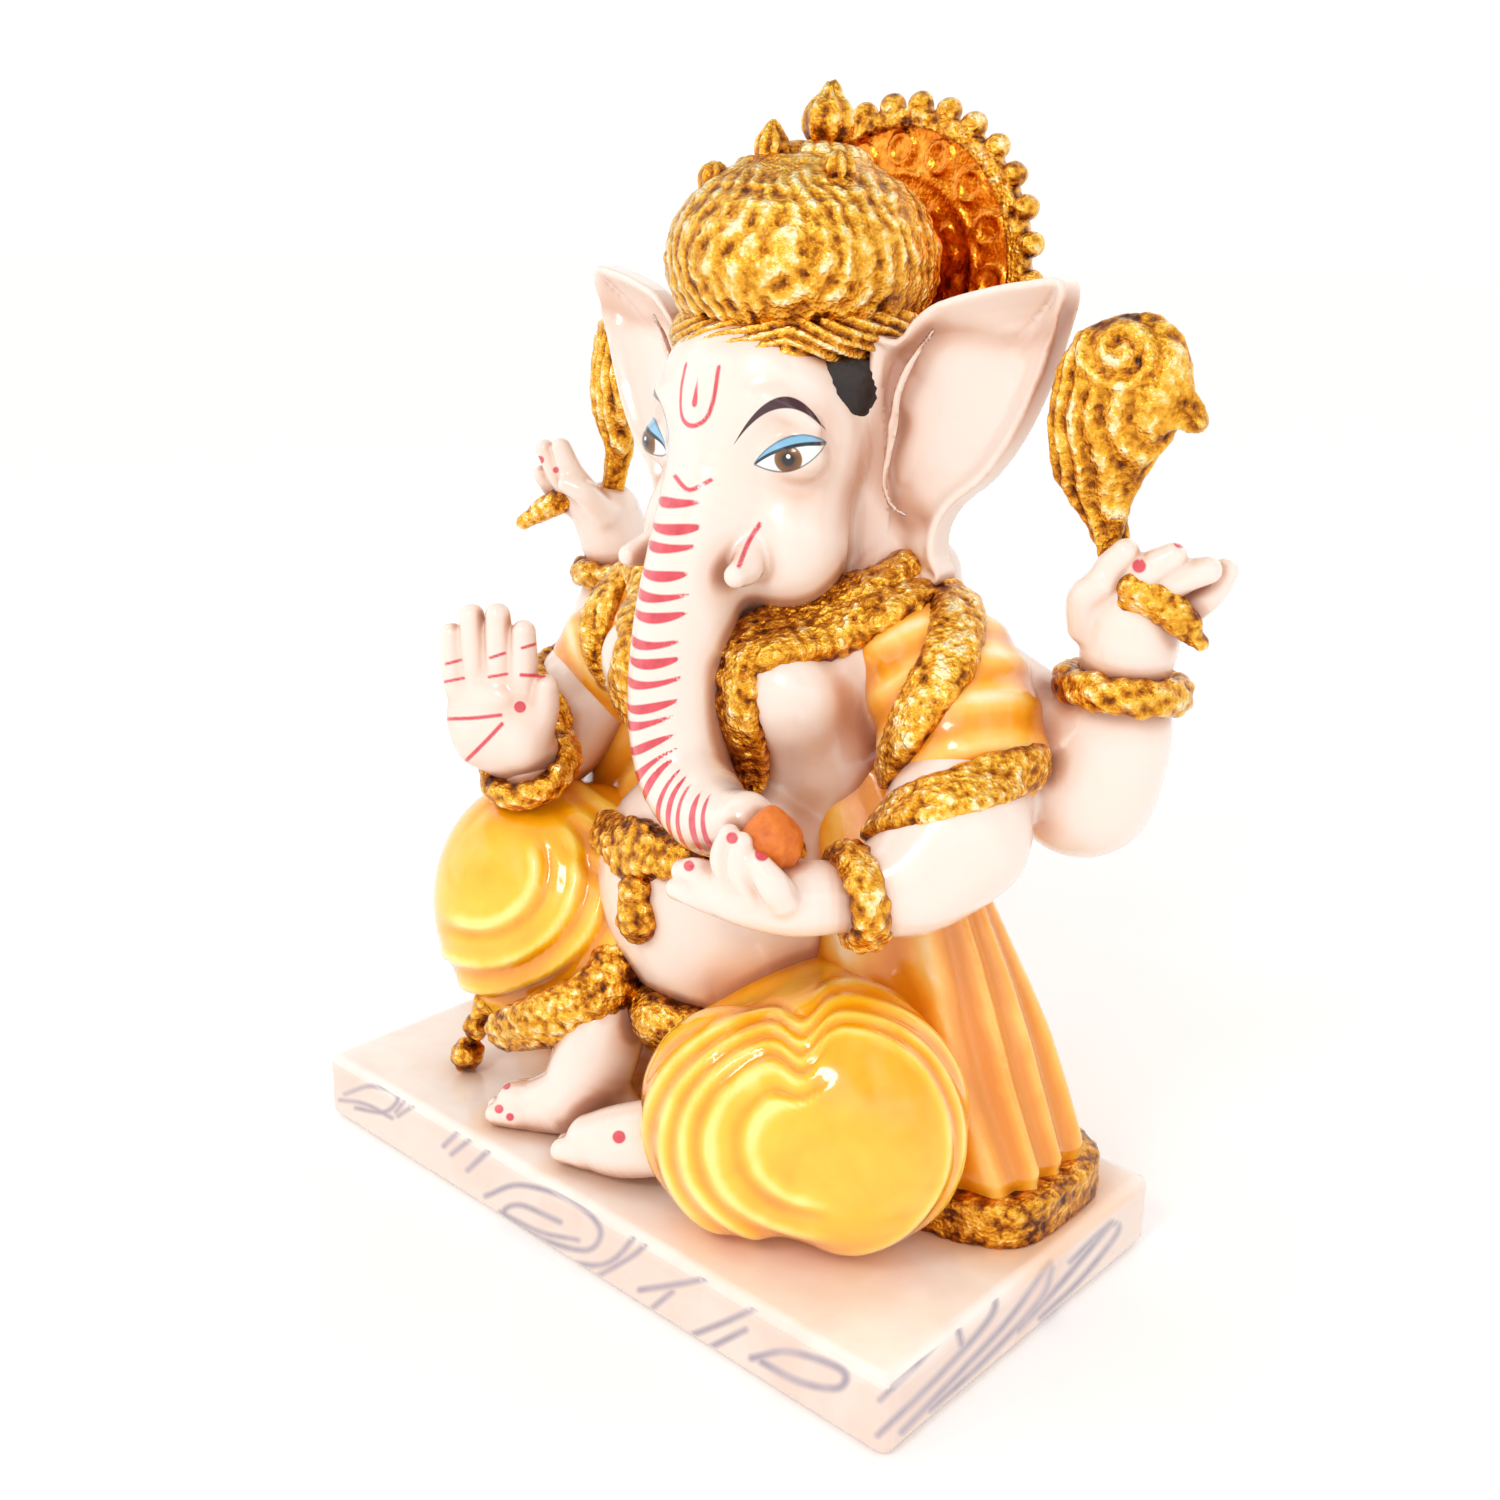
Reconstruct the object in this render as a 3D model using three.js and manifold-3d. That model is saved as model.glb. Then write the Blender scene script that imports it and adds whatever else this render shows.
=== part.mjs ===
// Seated four-armed Ganesha figurine on a marble slab, built as separate named pieces.
// Units are millimetres, +Z is up, the figure faces -Y and +X is the figure's own left.
// The origin is the centre of the slab's underside, the face the figurine rests on.
import * as THREE from 'three';
import { mergeVertices } from 'three/addons/utils/BufferGeometryUtils.js';
import Module from 'manifold-3d';

const wasm = await Module();
wasm.setup();

// ---------------------------------------------------------------- driving dimensions
const SLAB_W = 150;        // slab width along X
const SLAB_D = 80.8;       // slab depth along Y
const SLAB_H = 14.3;       // slab thickness
const SLAB_EDGE = 2.4;     // rounding of the slab's corners and edges
const GAP = 0.3;           // clearance kept between neighbouring pieces
const THIN_TOL = 0.12;     // how far thinning the facets may move a surface
const HALO_R = 33.5;       // radius of the halo disc over its lobes
const HALO_C = [1, 45, 174];
const HALO_LOBES = 30;     // beads round the halo's rim
const HALO_T = 5;          // thickness of the halo's beaded rim
const HALO_LEAN = 0.10;    // backward lean of the halo, mm per mm of height
const CLOAK_RX = 72;       // half width of the cloak where it lies on the slab
const CLOAK_RY = 23;       // half depth of the cloak where it lies on the slab
const CLOAK_Y = 16;        // the cloak's centre along Y
const HEM_H = 9;           // height of the cloak's gold hem
const EAR_T = 4.4;         // thickness of an ear before its bowl is hollowed
const EAR_SLOPE = 0.22;    // how far an ear swings back for each mm outward
const EAR_Y = 17;          // Y of an ear's root
const EAR_OUTLINE = [[21, 166], [25.9, 165], [29.3, 168.5], [33.5, 171.3], [42, 173.8], [48.5, 175], [53.7, 175.4],
  [55, 172], [53.3, 165.8], [50.6, 157.8], [47, 149.4], [42.3, 142.4], [37.2, 137.8], [34.8, 133.5],
  [34.6, 129], [36, 124.5], [30, 121], [22, 121.5], [15, 124], [13, 133], [15, 142.4], [20, 154.5]];

// ---------------------------------------------------------------- surfaces
const SKIN = { color: 0xf4e6dc, roughness: 0.22, metalness: 0 };
const MARBLE = { color: 0xf3ece6, roughness: 0.28, metalness: 0 };
const GOLD = { color: 0xd9a130, roughness: 0.3, metalness: 0.9 };
const YELLOW = { color: 0xffbb22, roughness: 0.2, metalness: 0 };
const ORANGE = { color: 0xf79a35, roughness: 0.22, metalness: 0 };
const SWEET = { color: 0xe8791c, roughness: 0.4, metalness: 0 };
const HAIR = { color: 0x1d1412, roughness: 0.35, metalness: 0 };

// ---------------------------------------------------------------- shape helpers
const rad = (d) => d * Math.PI / 180;

function solid(geometry) {
  const g = geometry.clone();
  g.deleteAttribute('normal');
  g.deleteAttribute('uv');
  const m = mergeVertices(g, 1e-4);
  const idx = m.index.array;
  const keep = [];
  for (let i = 0; i < idx.length; i += 3) {
    const [a, b, c] = [idx[i], idx[i + 1], idx[i + 2]];
    if (a !== b && b !== c && c !== a) keep.push(a, b, c);
  }
  return new wasm.Manifold(new wasm.Mesh({
    numProp: 3,
    vertProperties: new Float32Array(m.attributes.position.array),
    triVerts: new Uint32Array(keep),
  }));
}

// the largest closed shell of a solid, as vertex and triangle lists
function largestShell(man) {
  const mesh = man.getMesh();
  const n = mesh.numProp;
  const V = [];
  for (let i = 0; i < mesh.vertProperties.length; i += n) {
    V.push([mesh.vertProperties[i], mesh.vertProperties[i + 1], mesh.vertProperties[i + 2]]);
  }
  const T = mesh.triVerts;
  const parent = V.map((_, i) => i);
  const find = (a) => { while (parent[a] !== a) { parent[a] = parent[parent[a]]; a = parent[a]; } return a; };
  for (let i = 0; i < T.length; i += 3) {
    parent[find(T[i])] = find(T[i + 1]);
    parent[find(T[i + 1])] = find(T[i + 2]);
  }
  const vol = new Map();
  for (let i = 0; i < T.length; i += 3) {
    const [a, b, c] = [V[T[i]], V[T[i + 1]], V[T[i + 2]]];
    const v = (a[0] * (b[1] * c[2] - b[2] * c[1]) - a[1] * (b[0] * c[2] - b[2] * c[0]) + a[2] * (b[0] * c[1] - b[1] * c[0])) / 6;
    const r = find(T[i]);
    vol.set(r, (vol.get(r) || 0) + v);
  }
  let best = -1, bestV = -Infinity;
  for (const [r, v] of vol) if (v > bestV) { bestV = v; best = r; }
  const map = new Map();
  const pos = [], tri = [];
  for (let i = 0; i < T.length; i += 3) {
    if (find(T[i]) !== best) continue;
    for (let k = 0; k < 3; k++) {
      const q = T[i + k];
      if (!map.has(q)) { map.set(q, pos.length / 3); pos.push(...V[q]); }
      tri.push(map.get(q));
    }
  }
  return { pos, tri, shells: vol.size };
}

// removes needless vertices: a vertex is merged into a neighbour when that neighbour lies, within
// THIN_TOL, on every plane round it, so the surface keeps its shape and its clearances
function thin(shell, tol) {
  const P = [];
  for (let i = 0; i < shell.pos.length; i += 3) P.push([shell.pos[i], shell.pos[i + 1], shell.pos[i + 2]]);
  const sub = (a, b) => [a[0] - b[0], a[1] - b[1], a[2] - b[2]];
  const cross = (a, b) => [a[1] * b[2] - a[2] * b[1], a[2] * b[0] - a[0] * b[2], a[0] * b[1] - a[1] * b[0]];
  const dot = (a, b) => a[0] * b[0] + a[1] * b[1] + a[2] * b[2];
  const T = [];
  for (let i = 0; i < shell.tri.length; i += 3) T.push([shell.tri[i], shell.tri[i + 1], shell.tri[i + 2]]);
  const at = P.map(() => new Set());
  T.forEach((t, i) => t.forEach((v) => at[v].add(i)));
  const err = P.map(() => 0);
  const normal = (a, b, c) => cross(sub(P[b], P[a]), sub(P[c], P[a]));
  const ring = (v) => { const r = new Set(); for (const i of at[v]) for (const w of T[i]) if (w !== v) r.add(w); return r; };
  let live = true, rounds = 0;
  while (live && rounds++ < 12) {
    live = false;
    for (let v = 0; v < P.length; v++) {
      if (!at[v].size) continue;
      const nv = ring(v);
      let best = -1, bestCost = Infinity;
      for (const u of nv) {
        const nu = ring(u);
        let common = 0;
        for (const w of nv) if (nu.has(w)) common++;
        if (common !== 2) continue;
        let worst = 0, ok = true;
        for (const i of at[v]) {
          const [a, b, c] = T[i];
          const n = normal(a, b, c), L = Math.hypot(...n);
          if (L > 1e-9) worst = Math.max(worst, Math.abs(dot(sub(P[u], P[v]), n)) / L);
          if (T[i].includes(u)) continue;
          const m = normal(...T[i].map((w) => (w === v ? u : w))), M = Math.hypot(...m);
          if (M < 2e-3 || (L > 1e-6 && dot(n, m) / (L * M) < 0.55)) { ok = false; break; }
          const q = T[i].map((w) => P[w === v ? u : w]);
          const e = Math.max(Math.hypot(...sub(q[0], q[1])), Math.hypot(...sub(q[1], q[2])), Math.hypot(...sub(q[2], q[0])));
          if (M / (e * e) < 0.012) { ok = false; break; }
        }
        if (!ok || err[v] + worst > tol) continue;
        const cost = worst + 0.002 * Math.hypot(...sub(P[u], P[v]));
        if (cost < bestCost) { bestCost = cost; best = u; }
      }
      if (best < 0) continue;
      const u = best;
      let worst = 0;
      for (const i of at[v]) {
        const n = normal(...T[i]), L = Math.hypot(...n);
        if (L > 1e-9) worst = Math.max(worst, Math.abs(dot(sub(P[u], P[v]), n)) / L);
      }
      err[u] = Math.max(err[u], err[v] + worst);
      for (const i of [...at[v]]) {
        if (T[i].includes(u)) {
          for (const w of T[i]) at[w].delete(i);
          T[i] = null;
        } else {
          T[i] = T[i].map((w) => (w === v ? u : w));
          at[u].add(i);
        }
      }
      at[v].clear();
      live = true;
    }
  }
  const map = new Map(), pos = [], tri = [];
  for (const t of T) {
    if (!t) continue;
    for (const w of t) {
      if (!map.has(w)) { map.set(w, pos.length / 3); pos.push(...P[w]); }
      tri.push(map.get(w));
    }
  }
  return { pos, tri };
}

function ellipsoid(c, r, rot, g, ws, hs) {
  const geo = new THREE.SphereGeometry(1, ws, hs);
  geo.rotateX(Math.PI / 2);
  geo.scale(r[0] + g, r[1] + g, r[2] + g);
  geo.applyMatrix4(new THREE.Matrix4().makeRotationFromEuler(new THREE.Euler(rad(rot[0]), rad(rot[1]), rad(rot[2]), 'ZYX')));
  geo.translate(c[0], c[1], c[2]);
  return solid(geo);
}

// a limb-like form: a capsule bent along a smooth curve, its radius given at each point,
// optionally flattened along one direction
function sweep(points, flat, normal, g, radial, per) {
  const curve = new THREE.CatmullRomCurve3(points.map((p) => new THREE.Vector3(p[0], p[1], p[2])), false, 'catmullrom', 0.5);
  const radii = new THREE.CatmullRomCurve3(points.map((p, i) => new THREE.Vector3(p[3], i * 1e-3, 0)), false, 'catmullrom', 0.5);
  const steps = (points.length - 1) * per;
  const geo = new THREE.CapsuleGeometry(1, steps, 2, radial, steps);
  const N = [], Tn = [], Pn = [], Rn = [];
  const nrm = normal ? new THREE.Vector3(...normal).normalize() : null;
  let prev = null;
  for (let i = 0; i <= steps; i++) {
    const t = i / steps;
    Pn.push(curve.getPoint(t));
    Rn.push(radii.getPoint(t).x);
    const e = 0.01;
    const tan = curve.getPoint(Math.min(1, t + e)).sub(curve.getPoint(Math.max(0, t - e))).normalize();
    Tn.push(tan);
    if (!prev) {
      const up = Math.abs(tan.z) < 0.8 ? new THREE.Vector3(0, 0, 1) : new THREE.Vector3(0, 1, 0);
      prev = up.sub(tan.clone().multiplyScalar(up.dot(tan))).normalize();
    } else {
      prev = prev.clone().sub(tan.clone().multiplyScalar(prev.dot(tan))).normalize();
    }
    N.push(prev);
  }
  const pa = geo.attributes.position;
  for (let i = 0; i < pa.count; i++) {
    const x = pa.getX(i), y = pa.getY(i), z = pa.getZ(i);
    const yc = Math.max(-steps / 2, Math.min(steps / 2, y));
    const k = Math.round(yc + steps / 2);
    const over = y - yc;
    const b = new THREE.Vector3().crossVectors(Tn[k], N[k]);
    const r = Rn[k] + g;
    const o = N[k].clone().multiplyScalar(x * r).add(b.multiplyScalar(-z * r)).add(Tn[k].clone().multiplyScalar(over * r));
    if (nrm) {
      const d = o.dot(nrm);
      o.add(nrm.clone().multiplyScalar(d * (flat - 1) + (flat < 1 ? Math.sign(d) * g * (1 - flat) * Math.min(1, Math.abs(d) / r * 2) : 0)));
    }
    o.add(Pn[k]);
    pa.setXYZ(i, o.x, o.y, o.z);
  }
  return solid(geo);
}

function ring(c, axis, R, r, h, g, tubeSeg, ringSeg) {
  const geo = new THREE.TorusGeometry(R, r + g, tubeSeg, ringSeg);
  geo.scale(1, 1, (h + g) / (r + g));
  geo.applyQuaternion(new THREE.Quaternion().setFromUnitVectors(new THREE.Vector3(0, 0, 1), new THREE.Vector3(...axis).normalize()));
  geo.translate(c[0], c[1], c[2]);
  return solid(geo);
}

// a block with rounded corners and edges
function slab(g) {
  const w = SLAB_W / 2 + g, d = SLAB_D / 2 + g, e = SLAB_EDGE;
  const s = new THREE.Shape();
  const c = e + 1.5, x = w - e * 0.5, y = d - e * 0.5;
  s.moveTo(-x + c, -y); s.lineTo(x - c, -y); s.quadraticCurveTo(x, -y, x, -y + c);
  s.lineTo(x, y - c); s.quadraticCurveTo(x, y, x - c, y);
  s.lineTo(-x + c, y); s.quadraticCurveTo(-x, y, -x, y - c);
  s.lineTo(-x, -y + c); s.quadraticCurveTo(-x, -y, -x + c, -y);
  const geo = new THREE.ExtrudeGeometry(s, { depth: SLAB_H + 2 * g - e, bevelEnabled: true, bevelThickness: e * 0.5, bevelSize: e * 0.5, bevelSegments: 2, curveSegments: 4 });
  geo.translate(0, 0, e * 0.5 - g);
  return solid(geo);
}

// an ear: its outline extruded, swung back, with a bowl hollowed from the front
function ear(side, g) {
  const s = new THREE.Shape();
  EAR_OUTLINE.forEach(([x, z], i) => (i ? s.lineTo(x, z) : s.moveTo(x, z)));
  s.closePath();
  const geo = new THREE.ExtrudeGeometry(s, { depth: EAR_T - 1.6 + 2 * g, bevelEnabled: true, bevelThickness: 0.8, bevelSize: 0.8 + g, bevelOffset: 0, bevelSegments: 1 });
  geo.translate(0, 0, 0.8 - g);
  // shape plane (x, z) with the thickness towards +Y
  const m = new THREE.Matrix4().set(1, 0, 0, 0, EAR_SLOPE, 0, 1, EAR_Y - 24 * EAR_SLOPE - 1.8, 0, 1, 0, 0, 0, 0, 0, 1);
  geo.applyMatrix4(m);
  flip(geo);
  let e = solid(side < 0 ? mirrorX(geo) : geo);
  if (g === 0) {
    const bowl = new THREE.SphereGeometry(1, 14, 8);
    bowl.scale(13, 3.2, 20);
    bowl.applyMatrix4(new THREE.Matrix4().makeRotationY(rad(20)));
    bowl.translate(37.5, 0, 155.5);
    const sh = new THREE.Matrix4().set(1, 0, 0, 0, EAR_SLOPE, 1, 0, EAR_Y - 24 * EAR_SLOPE - 1.8, 0, 0, 1, 0, 0, 0, 0, 1);
    bowl.applyMatrix4(sh);
    e = e.subtract(solid(side < 0 ? mirrorX(bowl) : bowl));
  }
  return e;
}

function flip(geo) {
  const g = geo.index ? geo : mergeVertices(geo.deleteAttribute('normal').deleteAttribute('uv'), 1e-4);
  const ix = Array.from(g.index.array);
  for (let i = 0; i < ix.length; i += 3) [ix[i], ix[i + 1]] = [ix[i + 1], ix[i]];
  geo.setIndex(ix);
  if (g !== geo) geo.setAttribute('position', g.attributes.position);
  return geo;
}

function mirrorX(geo) {
  const g = geo.clone();
  g.scale(-1, 1, 1);
  if (!g.index) g.setIndex([...Array(g.attributes.position.count).keys()]);
  const ix = Array.from(g.index.array);
  for (let i = 0; i < ix.length; i += 3) [ix[i], ix[i + 1]] = [ix[i + 1], ix[i]];
  g.setIndex(ix);
  return g;
}

// the halo: a lobed rim with a thinner disc set inside it
function haloShape(R) {
  const s = new THREE.Shape();
  const n = HALO_LOBES * 2;
  for (let i = 0; i < n; i++) {
    const a = i / n * Math.PI * 2;
    const r = R - 1.1 + 1.1 * Math.abs(Math.cos(a * HALO_LOBES / 2));
    if (i) s.lineTo(r * Math.cos(a), r * Math.sin(a)); else s.moveTo(r * Math.cos(a), r * Math.sin(a));
  }
  s.closePath();
  return s;
}

function standUp(geo) {
  // shape plane to XZ, thickness along Y, leaning back with height
  const m = new THREE.Matrix4().set(1, 0, 0, HALO_C[0], 0, HALO_LEAN, 1, HALO_C[1], 0, 1, 0, HALO_C[2], 0, 0, 0, 1);
  geo.applyMatrix4(m);
  return solid(flip(geo));
}

function haloRim(g) {
  const s = haloShape(HALO_R + g);
  const h = new THREE.Path();
  h.absarc(0, 0, HALO_R - 6.2 - g, 0, Math.PI * 2, true);
  s.holes.push(h);
  const geo = new THREE.ExtrudeGeometry(s, { depth: HALO_T + 2 * g, bevelEnabled: false, curveSegments: 14 });
  geo.translate(0, 0, -HALO_T / 2 - g);
  return standUp(geo);
}

function haloField(g) {
  const geo = new THREE.CylinderGeometry(HALO_R - 6.2 - GAP + g, HALO_R - 6.2 - GAP + g, 2.6 + 2 * g, 28);
  geo.rotateX(Math.PI / 2);
  const m = new THREE.Matrix4().set(1, 0, 0, HALO_C[0], 0, HALO_LEAN, 1, HALO_C[1] + 0.6, 0, 1, 0, HALO_C[2], 0, 0, 0, 1);
  geo.applyMatrix4(m);
  return solid(flip(geo));
}

// the cloak: a bell-shaped drape whose plan is a rounded rectangle, narrowing upwards
function drape(profile, g, seg) {
  const pts = profile.map(([s, z]) => new THREE.Vector2(s, z));
  const geo = new THREE.LatheGeometry(pts, seg);
  const pa = geo.attributes.position;
  for (let i = 0; i < pa.count; i++) {
    const x = pa.getX(i), z = pa.getY(i), y = -pa.getZ(i);
    const r = Math.hypot(x, y), a = Math.atan2(y, x);
    const n = 4 - 1.6 * Math.min(1, (z - SLAB_H) / 70);
    const k = 1 / Math.pow(Math.pow(Math.abs(Math.cos(a)), n) + Math.pow(Math.abs(Math.sin(a)), n), 1 / n);
    const gg = r > 1e-6 ? g : 0;
    pa.setXYZ(i, Math.cos(a) * k * (r * CLOAK_RX + gg), CLOAK_Y + Math.sin(a) * k * (r * CLOAK_RY + gg), z + (r > 1e-6 || z < 40 ? 0 : g));
  }
  return solid(geo);
}

// ---------------------------------------------------------------- pieces
// E: centre, radii, turn in degrees.  S: points with radius, optional flattening and its direction.
// T: ring centre, axis, radius, tube radius, half height.  Pieces earlier in the list keep their full
// shape; each later piece is cut back where it meets them, so every pair keeps its clearance.
const E = (c, r, rot = [0, 0, 0], seg = null) => (g) => ellipsoid(c, r, rot, g, ...(seg || (Math.max(...r) > 14 ? [16, 10] : Math.max(...r) > 7 ? [12, 8] : [8, 6])));
const S = (pts, flat = 1, n = null, radial = null, per = 2) => (g) => sweep(pts, flat, n, g, radial || (Math.max(...pts.map((p) => p[3])) > 6 ? 10 : 8), per);
const T = (c, ax, R, r, h) => (g) => ring(c, ax, R, r, h, g, 6, 14);
const mir = (pts) => pts.map(([x, ...o]) => [-x, ...o]);

const NECK_L = [[27, 25, 124, 6.5], [28, 22, 118, 8.5], [29, 19, 114, 10]];
const COLLAR_L = [[27, 19, 125, 3.2], [25, 13.5, 123, 3.6], [17, 5, 118.5, 3.8], [8, -5.5, 112.5, 3.6]];
const COLLAR_LOW_L = [[33, 16, 121, 3.2], [31, 11, 119.5, 3.6], [24, 5.5, 115.8, 3.8], [16.5, -4, 112, 3.8], [11, -7.5, 109.5, 3.4]];
const DROP_L = [[12.5, -8.6, 108, 4], [14, -8.8, 99, 4.1], [12.6, -6.6, 89.5, 3.8]];

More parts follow.
